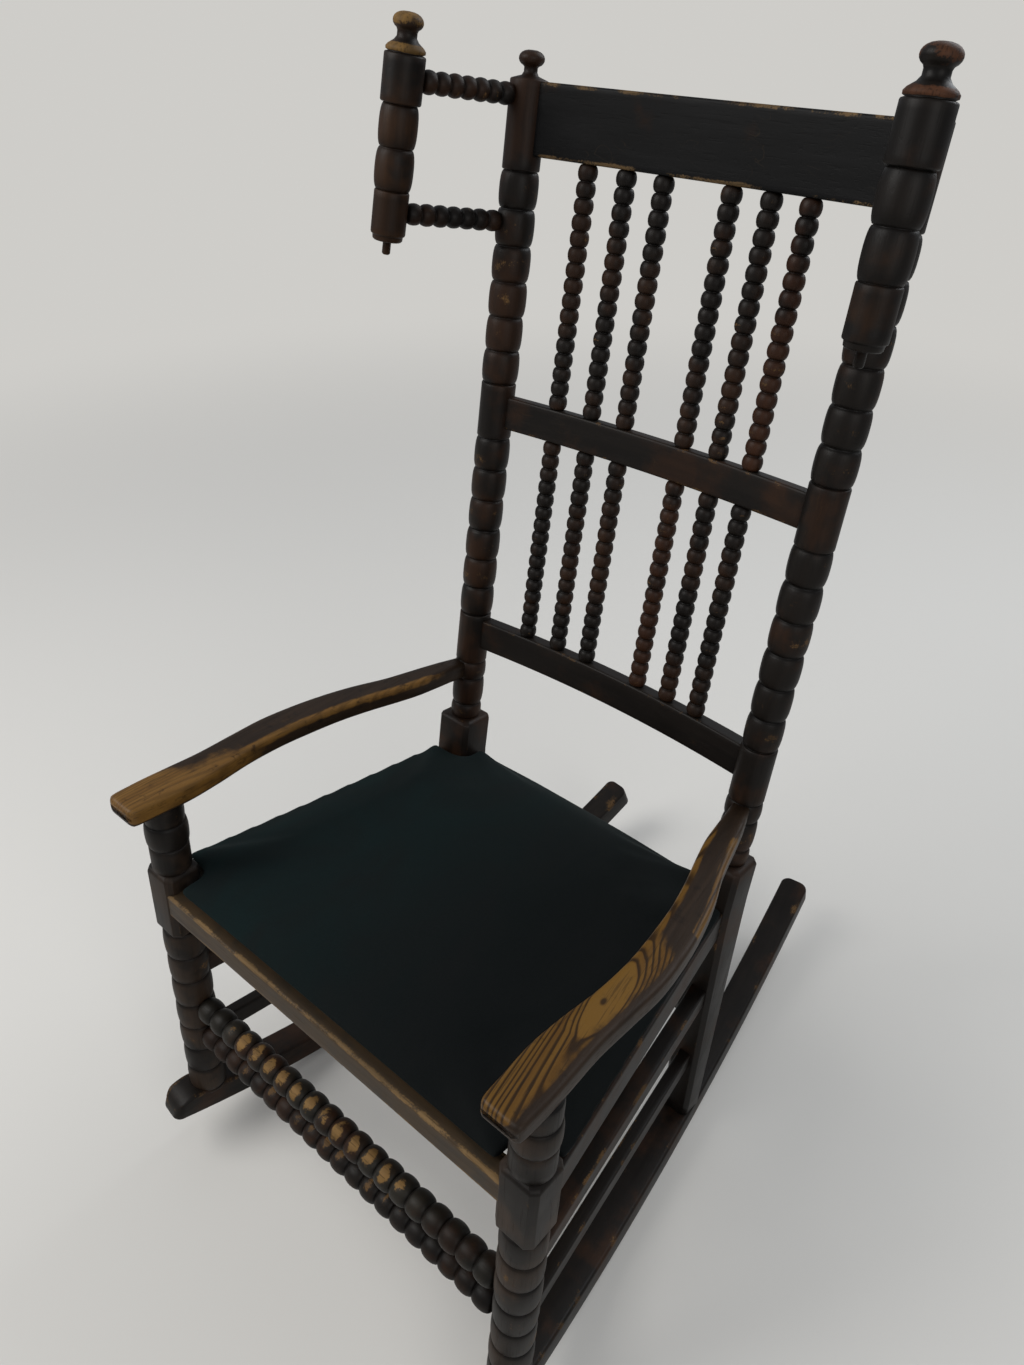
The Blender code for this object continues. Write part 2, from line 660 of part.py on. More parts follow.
def build_spindles():
    """Two rows of bobbin spindles between the back rails."""
    rows = {
        "upper": ("middle_back_rail", MIDDLE_UP + MIDDLE_HEIGHT / 2, "crest_rail", CREST_UP - CREST_HEIGHT / 2),
        "lower": ("lower_back_rail", LOWER_UP + LOWER_HEIGHT / 2, "middle_back_rail", MIDDLE_UP - MIDDLE_HEIGHT / 2),
    }
    tenon = (SPINDLE_TENON_RADIUS, SPINDLE_TENON_LENGTH)
    sizes = (SPINDLE_RADIUS, SPINDLE_GROOVE)
    for row, (rail_below, low, rail_above, high) in rows.items():
        for n, x in enumerate(SPINDLE_XS, 1):
            start, end = (x, bow(x), low - SPINDLE_TENON_LENGTH), (x, bow(x), high + SPINDLE_TENON_LENGTH)
            beaded_rod(
                f"{row}_spindle_{n}", back, start, end, tenon, FIT, SPINDLE_BEADS, sizes, SPINDLE_SIDES,
                (rail_below, rail_above),
            )


def build_wing(side):
    """A head wing: a short turned post with a button and a peg, on two bobbin rods from the back post."""
    sign = SIDES[side]
    collar = WING_TOP - WING_BUTTON_HEIGHT
    upper_top = collar - WING_COLLAR_HEIGHT
    upper_low = upper_top - WING_CYLINDER_HEIGHT
    lower_top = upper_low - 2 * WING_BEAD_HEIGHT
    lower_low = lower_top - WING_CYLINDER_HEIGHT
    ring_low = lower_low - WING_RING_HEIGHT
    profile = [
        (ring_low - WING_PEG_HEIGHT, WING_PEG_RADIUS),
        (ring_low, WING_PEG_RADIUS),
        (ring_low, WING_LOWER_RADIUS * 0.8),
        (lower_low, WING_LOWER_RADIUS),
        (lower_top - SOFT_EDGE, WING_LOWER_RADIUS),
        *beads(lower_top, upper_low, 2, WING_BEAD_RADIUS, WING_GROOVE, 2),
        (upper_low + SOFT_EDGE, WING_RADIUS),
        (upper_top - SOFT_EDGE, WING_RADIUS),
        (upper_top, WING_GROOVE),
        (collar - WING_COLLAR_HEIGHT / 2, WING_RADIUS * 0.96),
        (collar, WING_RADIUS * 0.90),
        (collar + WING_BUTTON_HEIGHT * 0.30, WING_NECK_RADIUS),
        (collar + WING_BUTTON_HEIGHT * 0.50, WING_NECK_RADIUS),
        (collar + WING_BUTTON_HEIGHT * 0.65, WING_BUTTON_RADIUS),
        (collar + WING_BUTTON_HEIGHT * 0.85, WING_BUTTON_RADIUS),
        (WING_TOP, WING_BUTTON_RADIUS / 2),
    ]
    name = f"wing_post_{side}"
    rows = {
        "upper": ((upper_top + upper_low) / 2, WING_RADIUS),
        "lower": ((lower_top + lower_low) / 2, WING_LOWER_RADIUS),
    }
    upright = Vector((-sign * math.sin(WING_LEAN[side]), 0, math.cos(WING_LEAN[side])))
    pivot_up = rows["upper"][0]
    base = Vector((sign * WING_X, -WING_FORWARD, pivot_up)) - upright * pivot_up
    turned(name, back, base, base + upright, profile, POST_SIDES)
    tenon = (WING_ROD_TENON_RADIUS, WING_ROD_TENON_LENGTH)
    sizes = (WING_ROD_RADIUS, WING_ROD_GROOVE)
    for row, (up, radius) in rows.items():
        post = Vector((sign * BACK_POST_X, 0, up))
        wing = base + upright * up
        run = (wing - post).normalized()
        start = post + run * (POST_RADIUS - WING_ROD_TENON_LENGTH)
        end = wing - run * (radius - WING_ROD_TENON_LENGTH)
        beaded_rod(
            f"wing_rod_{row}_{side}", back, start, end, tenon, WING_ROD_CLEARANCE, WING_ROD_BEADS, sizes,
            SPINDLE_SIDES, (f"back_post_{side}", name),
        )


def smooth_stations(stations, steps):
    """Catmull-Rom points through the stations, with a number of steps between each pair."""
    ends = [Vector(p) for p in (stations[0], *stations, stations[-1])]
    points = []
    for a, b, c, d in zip(ends, ends[1:], ends[2:], ends[3:]):
        for k in range(steps):
            t = k / steps
            bend = (2 * a - 5 * b + 4 * c - d) * t**2 + (3 * b - a - 3 * c + d) * t**3
            points.append(b + 0.5 * ((c - a) * t + bend))
    return points + [ends[-1]]


def build_arm(side):
    """An arm: a serpentine board with softened edges that narrows to a tenon in the back post."""
    sign = SIDES[side]
    post_depth = BACK_LEG_Y + (ARM_MIDDLE - SEAT_LEVEL) * math.tan(BACK_LEAN)
    stations = []
    for share, out, width in ARM_STATIONS:
        depth = FRONT_LEG_Y + share * (BACK_LEG_Y - FRONT_LEG_Y)
        stations.append((depth, leg_line(depth, SEAT_LEVEL) + out, width))
    end_depth, end_x, _ = stations[-1]
    slope = (BACK_POST_X - end_x) / (post_depth - end_depth)

    def ring(depth, middle, points):
        return [Vector((sign * (middle + x), depth, ARM_MIDDLE + z)) for x, z in points]

    def tenon_ring(depth, width):
        return ring(depth, end_x + slope * (depth - end_depth), regular(width))

    shoulder = post_depth - POST_RADIUS - SOFT_EDGE
    tip = post_depth - POST_RADIUS + TENON_LENGTH
    rings = [
        ring(depth, middle, octagon(width, ARM_THICK, ARM_BEVEL, ARM_BEVEL))
        for depth, middle, width in smooth_stations(stations, ARM_STEPS)
    ]
    rings += [tenon_ring(shoulder, ARM_TENON_WIDTH), tenon_ring(tip, ARM_TENON_WIDTH)]
    add_piece(f"arm_{side}", loft_mesh(rings), chair, Matrix.Identity(4), worn_wood)
    hole = ARM_TENON_WIDTH + 2 * FIT
    socket = loft_mesh([tenon_ring(shoulder, hole), tenon_ring(tip + FIT, hole)])
    cut_mesh(f"back_post_{side}", socket, chair.matrix)


def rail_line(depth):
    """Distance of a side rail's middle line from the middle of the chair, at a depth."""
    share = (depth - FRONT_LEG_Y) / (BACK_LEG_Y - FRONT_LEG_Y)
    front, rear = FRONT_LEG_X + SIDE_RAIL_FRONT_OUT, BACK_POST_X + SIDE_RAIL_BACK_OUT
    return front + share * (rear - front)


def leg_line(depth, level):
    """Distance from the middle of the chair of the line from a front leg to the splayed back leg."""
    splay = (SEAT_LEVEL - level) / (SEAT_LEVEL - back_foot)
    back_x = BACK_POST_X + splay * (BACK_FOOT_X - BACK_POST_X)
    share = (depth - FRONT_LEG_Y) / (BACK_LEG_Y - FRONT_LEG_Y)
    return FRONT_LEG_X + share * (back_x - FRONT_LEG_X)


def build_seat_frame():
    """The four seat rails, housed in the blocks of the legs and posts."""
    block = FRONT_BLOCK_WIDTH / 2
    reach = FRONT_LEG_X - block + FRONT_RAIL_HOUSING
    y = FRONT_LEG_Y - block + FRONT_RAIL_SETBACK + SEAT_RAIL_THICK / 2
    level = SEAT_LEVEL - FRONT_RAIL_HEIGHT / 2
    legs = ("front_leg_left", "front_leg_right")
    bar("seat_rail_front", chair, (-reach, y, level), (reach, y, level), SEAT_RAIL_THICK, FRONT_RAIL_HEIGHT, legs)
    reach = BACK_POST_X - BACK_LEG_WIDTH / 2 + SIDE_RAIL_HOUSING
    y = BACK_RAIL_Y
    level = SEAT_LEVEL - SIDE_RAIL_HEIGHT / 2
    posts = ("back_post_left", "back_post_right")
    bar("seat_rail_back", chair, (-reach, y, level), (reach, y, level), SEAT_RAIL_THICK, SIDE_RAIL_HEIGHT, posts)
    start_y = FRONT_LEG_Y + block - SIDE_RAIL_HOUSING
    end_y = BACK_LEG_Y - BACK_LEG_WIDTH / 2 + SIDE_RAIL_HOUSING
    for side, sign in SIDES.items():
        start = (sign * rail_line(start_y), start_y, level)
        end = (sign * rail_line(end_y), end_y, level)
        uprights = (f"front_leg_{side}", f"back_post_{side}")
        bar(f"seat_rail_{side}", chair, start, end, SEAT_RAIL_THICK, SIDE_RAIL_HEIGHT, uprights)


def build_stretchers():
    """Two bobbin stretchers in front, two plain bars at each side and one at the back."""
    reach = FRONT_LEG_X - FRONT_LEG_RADIUS + FRONT_STRETCHER_TENON_LENGTH - FRONT_STRETCHER_CLEARANCE
    tenon = (FRONT_STRETCHER_TENON_RADIUS, FRONT_STRETCHER_TENON_LENGTH)
    sizes = (FRONT_STRETCHER_RADIUS, FRONT_STRETCHER_GROOVE)
    legs = ("front_leg_left", "front_leg_right")
    for row, level in (("upper", FRONT_STRETCHER_UPPER), ("lower", FRONT_STRETCHER_LOWER)):
        beaded_rod(
            f"front_stretcher_{row}", chair, (-reach, FRONT_LEG_Y, level), (reach, FRONT_LEG_Y, level), tenon, 0,
            FRONT_STRETCHER_BEADS, sizes, STRETCHER_SIDES, legs,
        )
    start_y = FRONT_LEG_Y + FRONT_LEG_RADIUS - SIDE_STRETCHER_HOUSING
    end_y = BACK_LEG_Y - BACK_FOOT_WIDTH / 2 + SIDE_RAIL_HOUSING
    rows = {
        "upper": (
            SIDE_STRETCHER_UPPER, SIDE_STRETCHER_UPPER_OUT, SIDE_STRETCHER_UPPER_THICK, SIDE_STRETCHER_UPPER_HEIGHT,
        ),
        "lower": (SIDE_STRETCHER_LOWER, 0.0, SIDE_STRETCHER_LOWER_THICK, SIDE_STRETCHER_LOWER_HEIGHT),
    }
    for row, (level, out, thick, tall) in rows.items():
        for side, sign in SIDES.items():
            start = (sign * (leg_line(start_y, level) + out), start_y, level)
            end = (sign * (leg_line(end_y, level) + out), end_y, level)
            uprights = (f"front_leg_{side}", f"back_post_{side}")
            bar(f"side_stretcher_{row}_{side}", chair, start, end, thick, tall, uprights)
    level = BACK_STRETCHER_UP
    reach = leg_line(BACK_LEG_Y, level) - BACK_FOOT_WIDTH / 2 + SIDE_RAIL_HOUSING
    posts = ("back_post_left", "back_post_right")
    start, end = (-reach, BACK_LEG_Y, level), (reach, BACK_LEG_Y, level)
    bar("back_stretcher", chair, start, end, BACK_STRETCHER_THICK, BACK_STRETCHER_HEIGHT, posts)


def seat_edges():
    """The pad's edges: its front and back depth, and how far it stands out from the middle line of the side rails."""
    front = FRONT_LEG_Y - FRONT_BLOCK_WIDTH / 2 + FRONT_RAIL_SETBACK + PAD_FRONT_SETBACK
    rear = BACK_RAIL_Y + SEAT_RAIL_THICK / 2 + PAD_BACK_OVERHANG
    return front, rear, SEAT_RAIL_THICK / 2 + PAD_SIDE_OVERHANG


def seat_outline(inset):
    """The outline of the seat, drawn in by an inset, with its four corners notched round the legs and posts."""
    front, rear, out = seat_edges()
    front_gap = FRONT_BLOCK_WIDTH / 2 + PAD_CLEARANCE + inset
    back_gap = BACK_LEG_WIDTH / 2 + PAD_CLEARANCE + inset
    near, far = FRONT_LEG_Y + front_gap, BACK_LEG_Y - back_gap
    half = [
        (FRONT_LEG_X - front_gap, front + inset),
        (FRONT_LEG_X - front_gap, near),
        (rail_line(near) + out - inset, near),
        (rail_line(far) + out - inset, far),
        (BACK_POST_X - back_gap, far),
        (BACK_POST_X - back_gap, rear - inset),
    ]
    return half + [(-x, y) for x, y in reversed(half)]


def pad_point(across, depth, height):
    """Where a point of the pad lies. Its place across and in depth run from -1 to 1, and its height from 0 to 1."""
    front, rear, out = seat_edges()
    roll = PAD_ROLL * (1 - math.sqrt(max(0.0, 1 - (2 * height - 1) ** 2)))
    y = (front + rear) / 2 + depth * ((rear - front) / 2 - roll)
    half = rail_line(y) + out - PAD_DRAW_IN * (1 - depth**2) - roll
    swell = PAD_CROWN * (1 - across**4) * (1 - depth**4) * height
    return across * half, y, SEAT_LEVEL + FIT + PAD_EDGE_HEIGHT * height + swell


def build_seat():
    """The seat board and its pad, notched round the legs and posts, lying on the rails."""
    low = SEAT_LEVEL + FIT
    high = low + BOARD_THICK
    add_piece("seat_board", prism_mesh(seat_outline(BOARD_INSET), low, high), chair, Matrix.Identity(4), softwood)
    bm = bmesh.new()
    bmesh.ops.create_grid(bm, x_segments=PAD_CUTS, y_segments=PAD_CUTS, size=1.0)
    raised = bmesh.ops.extrude_face_region(bm, geom=bm.faces[:], use_keep_orig=True)["geom"]
    bmesh.ops.translate(bm, verts=[v for v in raised if isinstance(v, bmesh.types.BMVert)], vec=(0, 0, 1))
    uprights = [e for e in bm.edges if abs(e.verts[0].co.z - e.verts[1].co.z) > 0.5]
    bmesh.ops.subdivide_edges(bm, edges=uprights, cuts=2, use_grid_fill=True)
    for vert in bm.verts:
        vert.co = pad_point(*vert.co)
    bmesh.ops.recalc_face_normals(bm, faces=bm.faces)
    add_piece("seat_pad", bm, chair, Matrix.Identity(4), velvet)
    recess = prism_mesh(seat_outline(BOARD_INSET - FIT), low - BOARD_THICK, high + FIT)
    cut_mesh("seat_pad", recess, chair.matrix)
    for sign in SIDES.values():
        width = FRONT_BLOCK_WIDTH + 2 * PAD_CLEARANCE
        corner = Matrix.Translation((sign * (FRONT_LEG_X + width), FRONT_LEG_Y - width, SEAT_LEVEL))
        cut_box("seat_pad", chair.matrix @ corner, (3 * width, 3 * width, 3 * width))
        width = BACK_LEG_WIDTH + 2 * PAD_CLEARANCE
        corner = Matrix.Translation((sign * (BACK_POST_X + width), BACK_LEG_Y + width, SEAT_LEVEL))
        cut_box("seat_pad", chair.matrix @ corner, (3 * width, 3 * width, 3 * width))


def add_screw(name, place, shank):
    """A screw with its head at a place in the chair frame and its shank running up from there."""
    bm = bmesh.new()
    facets = Matrix.Rotation(-math.pi / 2, 4, "Z")
    ring = bmesh.ops.create_circle(
        bm, cap_ends=True, segments=SPINDLE_SIDES, radius=SCREW_HEAD_RADIUS, matrix=facets
    )["verts"]
    shrink = SCREW_RADIUS / SCREW_HEAD_RADIUS
    face = sweep(bm, ring[0].link_faces[0], Matrix.Translation((0, 0, SCREW_HEAD_HEIGHT)))
    face = sweep(bm, face, Matrix.Diagonal((shrink, shrink, 1.0, 1.0)))
    sweep(bm, face, Matrix.Translation((0, 0, shank)))
    bmesh.ops.recalc_face_normals(bm, faces=bm.faces)
    add_piece(name, bm, chair, place, steel)


def build_corner_blocks():
    """Blocks across the corners of the seat frame, each with a screw up into the seat board."""
    low = SEAT_LEVEL - CORNER_BLOCK_HEIGHT
    shank = CORNER_BLOCK_HEIGHT + 2 * FIT + SCREW_BITE
    toe = rail_line(FRONT_LEG_Y) - rail_line(BACK_LEG_Y)
    slant = math.cos(math.atan2(toe, BACK_LEG_Y - FRONT_LEG_Y))
    clear = (SEAT_RAIL_THICK / 2 + FIT) / slant
    corners = {
        "front": (FRONT_LEG_Y - FRONT_BLOCK_WIDTH / 2 + FRONT_RAIL_SETBACK + SEAT_RAIL_THICK + FIT, 1),
        "back": (BACK_RAIL_Y - SEAT_RAIL_THICK / 2 - FIT, -1),
    }
    for end, (rail_y, inward) in corners.items():
        corner_x = rail_line(rail_y) - clear
        near, far = rail_y + inward * CORNER_BLOCK_NEAR, rail_y + inward * CORNER_BLOCK_FAR
        outline = [
            (corner_x - CORNER_BLOCK_NEAR, rail_y), (rail_line(near) - clear, near),
            (rail_line(far) - clear, far), (corner_x - CORNER_BLOCK_FAR, rail_y),
        ]
        for side, sign in SIDES.items():
            name = f"corner_block_{end}_{side}"
            points = [(sign * x, y) for x, y in outline]
            add_piece(name, prism_mesh(points, low, SEAT_LEVEL), chair, Matrix.Identity(4), softwood)
            x, y = (sum(values) / len(points) for values in zip(*points))
            head = Matrix.Translation((x, y, low - SCREW_HEAD_HEIGHT - FIT))
            for target in (name, "seat_board"):
                cut_round(target, chair.matrix @ head, SCREW_RADIUS, SCREW_HEAD_HEIGHT + shank, SPINDLE_SIDES)
            add_screw(f"seat_screw_{end}_{side}", head, shank)


def cut_sockets():
    """Cuts every socket from its piece. The rockers' tenon holes are deeper than the seats over them."""
    for target, bm in sockets.items():
        piece = bpy.data.objects[target.removesuffix("_tenons")]
        add_boolean(piece, add_helper(f"{target}_sockets", bm), "DIFFERENCE")


clear_scene()
pieces = new_collection("bobbin_rocking_chair")
cutters = new_collection("cutters")
dark_wood = finish("dark_stained_wood", (0.050, 0.036, 0.028), 0.45)
worn_wood = finish("worn_golden_wood", (0.420, 0.270, 0.120), 0.42)
velvet = finish("dark_green_velvet", (0.020, 0.034, 0.034), 0.85)
softwood = finish("bare_softwood", (0.480, 0.350, 0.210), 0.65)
steel = finish("screw_steel", (0.420, 0.410, 0.390), 0.35, 1.0)
sockets = {}
floor = Frame("floor_frame", Matrix.Identity(4))
chair = Frame("chair_frame", Matrix.Rotation(-SEAT_TILT, 4, "X"), floor)
lean = Matrix.Translation((0, BACK_LEG_Y, SEAT_LEVEL)) @ Matrix.Rotation(-BACK_LEAN, 4, "X")
back = Frame("back_frame", lean, chair)
front_foot = foot_level(FRONT_LEG_Y, FRONT_FOOT_RADIUS)
back_foot = foot_level(BACK_LEG_Y, BACK_FOOT_WIDTH / 2)

for one_side in SIDES:
    build_rocker(one_side)
    build_front_leg(one_side)
    build_back_post(one_side)
    build_wing(one_side)
    build_arm(one_side)
build_back_rails()
build_spindles()
build_seat_frame()
build_stretchers()
build_seat()
build_corner_blocks()
cut_sockets()
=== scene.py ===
"""The looks of an old bobbin-turned rocking chair with head wings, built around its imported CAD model."""

import logging
import math
import random
from collections.abc import Callable, Iterator, Sequence
from contextlib import contextmanager
from dataclasses import dataclass
from enum import Enum

import bmesh
import bpy
from mathutils import Matrix, Vector


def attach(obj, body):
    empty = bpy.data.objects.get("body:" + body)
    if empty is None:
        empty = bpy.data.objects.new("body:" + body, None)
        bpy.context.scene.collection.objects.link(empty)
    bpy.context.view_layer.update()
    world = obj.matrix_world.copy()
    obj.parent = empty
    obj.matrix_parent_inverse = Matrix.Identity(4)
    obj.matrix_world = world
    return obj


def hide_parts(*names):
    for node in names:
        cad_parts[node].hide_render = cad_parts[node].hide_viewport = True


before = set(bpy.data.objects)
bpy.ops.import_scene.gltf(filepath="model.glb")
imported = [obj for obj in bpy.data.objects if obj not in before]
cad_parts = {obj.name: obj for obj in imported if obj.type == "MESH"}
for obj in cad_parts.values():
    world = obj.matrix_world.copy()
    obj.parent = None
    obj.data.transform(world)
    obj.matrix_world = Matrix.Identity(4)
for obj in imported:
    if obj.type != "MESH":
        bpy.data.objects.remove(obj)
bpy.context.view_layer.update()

LOG = logging.getLogger("rocking_chair")
BODY = "root"
EXPOSURE = "exposure"
MERGE = 1e-6

Triple = tuple[float, float, float]
Colour = Triple
Point = Triple
Range = tuple[float, float]
Socket = bpy.types.NodeSocket
SocketValue = Socket | float | Sequence[float]
Inputs = dict[str | int, SocketValue]
Section = list[tuple[Vector, float]]
Corner = tuple[float, float, float, float]
SQUARE = ((-1, -1), (1, -1), (1, 1), (-1, 1))


class Side(Enum):
    """The chair's two sides, as someone who looks at its front sees them. The value is the sign of X."""

    LEFT = -1
    RIGHT = 1

    @property
    def word(self) -> str:
        """The side's name, as the nodes use it."""
        return self.name.lower()


class Slot(Enum):
    """The record's material slots, one for each kind of finish."""

    DARK_WOOD = "dark_stained_wood"
    GOLDEN_WOOD = "worn_golden_wood"
    VELVET = "dark_green_velvet"


@dataclass(frozen=True)
class ChairFrames:
    """The frames that the chair is measured in: the seat's, tipped back on the rockers, and the back's."""

    seat_tilt: float = math.radians(5.4)
    back_lean: float = math.radians(4.8)
    seat_level: float = 0.374
    front_leg_x: float = 0.238
    front_leg_y: float = -0.343
    front_foot: float = 0.0454
    back_post_x: float = 0.185
    back_foot_x: float = 0.1945
    back_leg_y: float = 0.032
    back_foot: float = 0.0317
    side_front_out: float = 0.006
    side_back_out: float = 0.003

    @property
    def chair(self) -> Matrix:
        """The seat's frame, with X to the right, Y to the rear and Z up from the floor."""
        return Matrix.Rotation(-self.seat_tilt, 4, "X")

    @property
    def back(self) -> Matrix:
        """The back's frame, with Z up along the posts."""
        foot = Matrix.Translation((0, self.back_leg_y, self.seat_level))
        return self.chair @ foot @ Matrix.Rotation(-self.back_lean, 4, "X")

    def share(self, depth: float) -> float:
        """How far a depth is on the way from the front legs to the back ones."""
        return (depth - self.front_leg_y) / (self.back_leg_y - self.front_leg_y)

    def rail_line(self, depth: float) -> float:
        """Distance of a side rail's middle line from the middle of the chair, at a depth."""
        front, rear = self.front_leg_x + self.side_front_out, self.back_post_x + self.side_back_out
        return front + self.share(depth) * (rear - front)

    def leg_line(self, depth: float, level: float) -> float:
        """Distance from the middle of the line between a front leg and the splayed back leg.

        Args:
            depth: place along the chair, to the rear.
            level: height in the seat's frame.

        Returns:
            The distance in metres.
        """
        splay = (self.seat_level - level) / (self.seat_level - self.back_foot)
        back_x = self.back_post_x + splay * (self.back_foot_x - self.back_post_x)
        return self.front_leg_x + self.share(depth) * (back_x - self.front_leg_x)


FRAMES = ChairFrames()


def along(start: Vector, end: Vector, axis: str) -> Matrix:
    """A place at start whose X or Z axis runs to end, and whose other axes stay as level as they can.

    Args:
        start: where the place is.
        end: what its axis points at.
        axis: "X" or "Z".

    Returns:
        The place as a matrix.
    """
    run = (end - start).normalized()
    if axis == "X":
        side = Vector((0, 0, 1)).cross(run).normalized()
        columns = (run, side, run.cross(side))
    else:
        hint = Vector((1, 0, 0)) if abs(run.x) < 0.7 else Vector((0, 0, 1))
        side = run.cross(hint).normalized()
        columns = (side.cross(run), side, run)
    return Matrix.Translation(start) @ Matrix(columns).transposed().to_4x4()


def clamped(value: float) -> float:
    """A value, kept between 0 and 1."""
    return min(1.0, max(0.0, value))


class Graph:
    """A node tree that is put together by short calls."""

    def __init__(self, tree: bpy.types.NodeTree) -> None:
        """Takes the tree that nodes are added to."""
        self.tree = tree

    def wire(self, node: bpy.types.Node, inputs: Inputs) -> None:
        """Links or sets some of a node's inputs."""
        for socket, value in inputs.items():
            if isinstance(value, Socket):
                self.tree.links.new(value, node.inputs[socket])
            else:
                node.inputs[socket].default_value = value

    def add(self, kind: str, inputs: Inputs | None = None, **settings: object) -> bpy.types.Node:
        """Adds a node.

        Args:
            kind: the node's type.
            inputs: a value or a link for each input that isn't left at its default.
            settings: the node's own settings.

        Returns:
            The new node.
        """
        node = self.tree.nodes.new(kind)
        for name, value in settings.items():
            setattr(node, name, value)
        self.wire(node, inputs or {})
        return node

    def place(self) -> Socket:
        """Coordinates in the piece's own frame."""
        return self.add("ShaderNodeTexCoord").outputs["Object"]

    def length(self, vector: Socket) -> Socket:
        """The length of a vector."""
        return self.add("ShaderNodeVectorMath", {0: vector}, operation="LENGTH").outputs["Value"]

    def math(self, operation: str, *values: SocketValue) -> Socket:
        """The result of a Math node on up to three values."""
        return self.add("ShaderNodeMath", dict(enumerate(values)), operation=operation).outputs[0]

    def vector(self, operation: str, *values: SocketValue) -> Socket:
        """The vector that a Vector Math node gives."""
        return self.add("ShaderNodeVectorMath", dict(enumerate(values)), operation=operation).outputs[0]

    def scaled(self, colour: Socket, factor: SocketValue) -> Socket:
        """A colour, made lighter or darker by a factor."""
        return self.add("ShaderNodeVectorMath", {0: colour, "Scale": factor}, operation="SCALE").outputs[0]

    def mix(self, share: SocketValue, first: SocketValue, second: SocketValue) -> Socket:
        """A colour between two colours."""
        values = {0: share, 6: self.rgba(first), 7: self.rgba(second)}
        return self.add("ShaderNodeMix", values, data_type="RGBA").outputs[2]

    @staticmethod
    def rgba(value: SocketValue) -> SocketValue:
        """A plain colour with its alpha; a link stays as it is."""
        return value if isinstance(value, Socket) else (*value, 1.0)

    def spread(self, value: Socket, source: Range, target: Range = (0.0, 1.0), smooth: bool = True) -> Socket:
        """Maps a range of values to another range and clamps what lies outside.

        Args:
            value: the value to map.
            source: the range that it comes from.
            target: the range that it goes to.
            smooth: whether the ends ease in and out.

        Returns:
            The mapped value.
        """
        inputs = {0: value, 1: source[0], 2: source[1], 3: target[0], 4: target[1]}
        ease = "SMOOTHSTEP" if smooth else "LINEAR"
        return self.add("ShaderNodeMapRange", inputs, interpolation_type=ease).outputs[0]

    def noise(
        self, vector: Socket, scale: SocketValue, detail: float = 4.0, roughness: float = 0.55,
        distortion: float = 0.0,
    ) -> Socket:
        """Noise between about 0.25 and 0.75.

        Args:
            vector: where it is read.
            scale: features in a metre.
            detail: octaves.
            roughness: how strong the finer octaves are.
            distortion: how far it swirls.

        Returns:
            The noise as a value.
        """
        inputs = {"Vector": vector, "Scale": scale, "Detail": detail, "Roughness": roughness}
        return self.add("ShaderNodeTexNoise", {**inputs, "Distortion": distortion}).outputs["Fac"]


class EffectGroup:
    """A shared effect: a node group with named inputs and outputs."""

    def __init__(self, name: str, inputs: dict[str, float | None], outputs: Sequence[str]) -> None:
        """Makes the group's sockets. An input with no default is a vector, and the others are values.

        Args:
            name: the group's name.
            inputs: each input's default.
            outputs: the names of the values that it puts out.
        """
        self.tree = bpy.data.node_groups.new(name, "ShaderNodeTree")
        for label, default in inputs.items():
            kind = "NodeSocketVector" if default is None else "NodeSocketFloat"
            socket = self.tree.interface.new_socket(label, in_out="INPUT", socket_type=kind)
            if default is not None:
                socket.default_value = default
        for label in outputs:
            self.tree.interface.new_socket(label, in_out="OUTPUT", socket_type="NodeSocketFloat")
        self.graph = Graph(self.tree)
        self.inputs = self.graph.add("NodeGroupInput").outputs
        self.results = self.graph.add("NodeGroupOutput").inputs

    def give(self, label: str, value: Socket) -> None:
        """Links a value to one of the group's outputs."""
        self.tree.links.new(value, self.results[label])

    def place(self, graph: Graph, **inputs: SocketValue) -> bpy.types.NodeOutputs:
        """Puts the group in a material.

        Args:
            graph: the material's nodes.
            inputs: the group's inputs, with underscores for spaces.

        Returns:
            The group's outputs.
        """
        values = {label.replace("_", " "): value for label, value in inputs.items()}
        return graph.add("ShaderNodeGroup", values, node_tree=self.tree).outputs


def wood_grain_group() -> EffectGroup:
    """Long streaks and short pores along Z, and the height that they give the surface."""
    group = EffectGroup("wood_grain", {"Vector": None, "Streaks": 60.0}, ("Streaks", "Pores", "Height"))
    graph, inputs = group.graph, group.inputs
    drawn = graph.vector("MULTIPLY", inputs["Vector"], (1.0, 1.0, 0.07))
    streaks = graph.noise(drawn, inputs["Streaks"], detail=6.0, roughness=0.62, distortion=0.35)
    streaks = graph.spread(streaks, (0.33, 0.67))
    short = graph.vector("MULTIPLY", inputs["Vector"], (1.0, 1.0, 0.045))
    pores = graph.spread(graph.noise(short, 620.0, detail=2.0, roughness=0.5), (0.56, 0.70))
    group.give("Streaks", streaks)
    group.give("Pores", pores)
    group.give("Height", graph.math("SUBTRACT", graph.math("MULTIPLY", streaks, 0.45), pores))
    return group


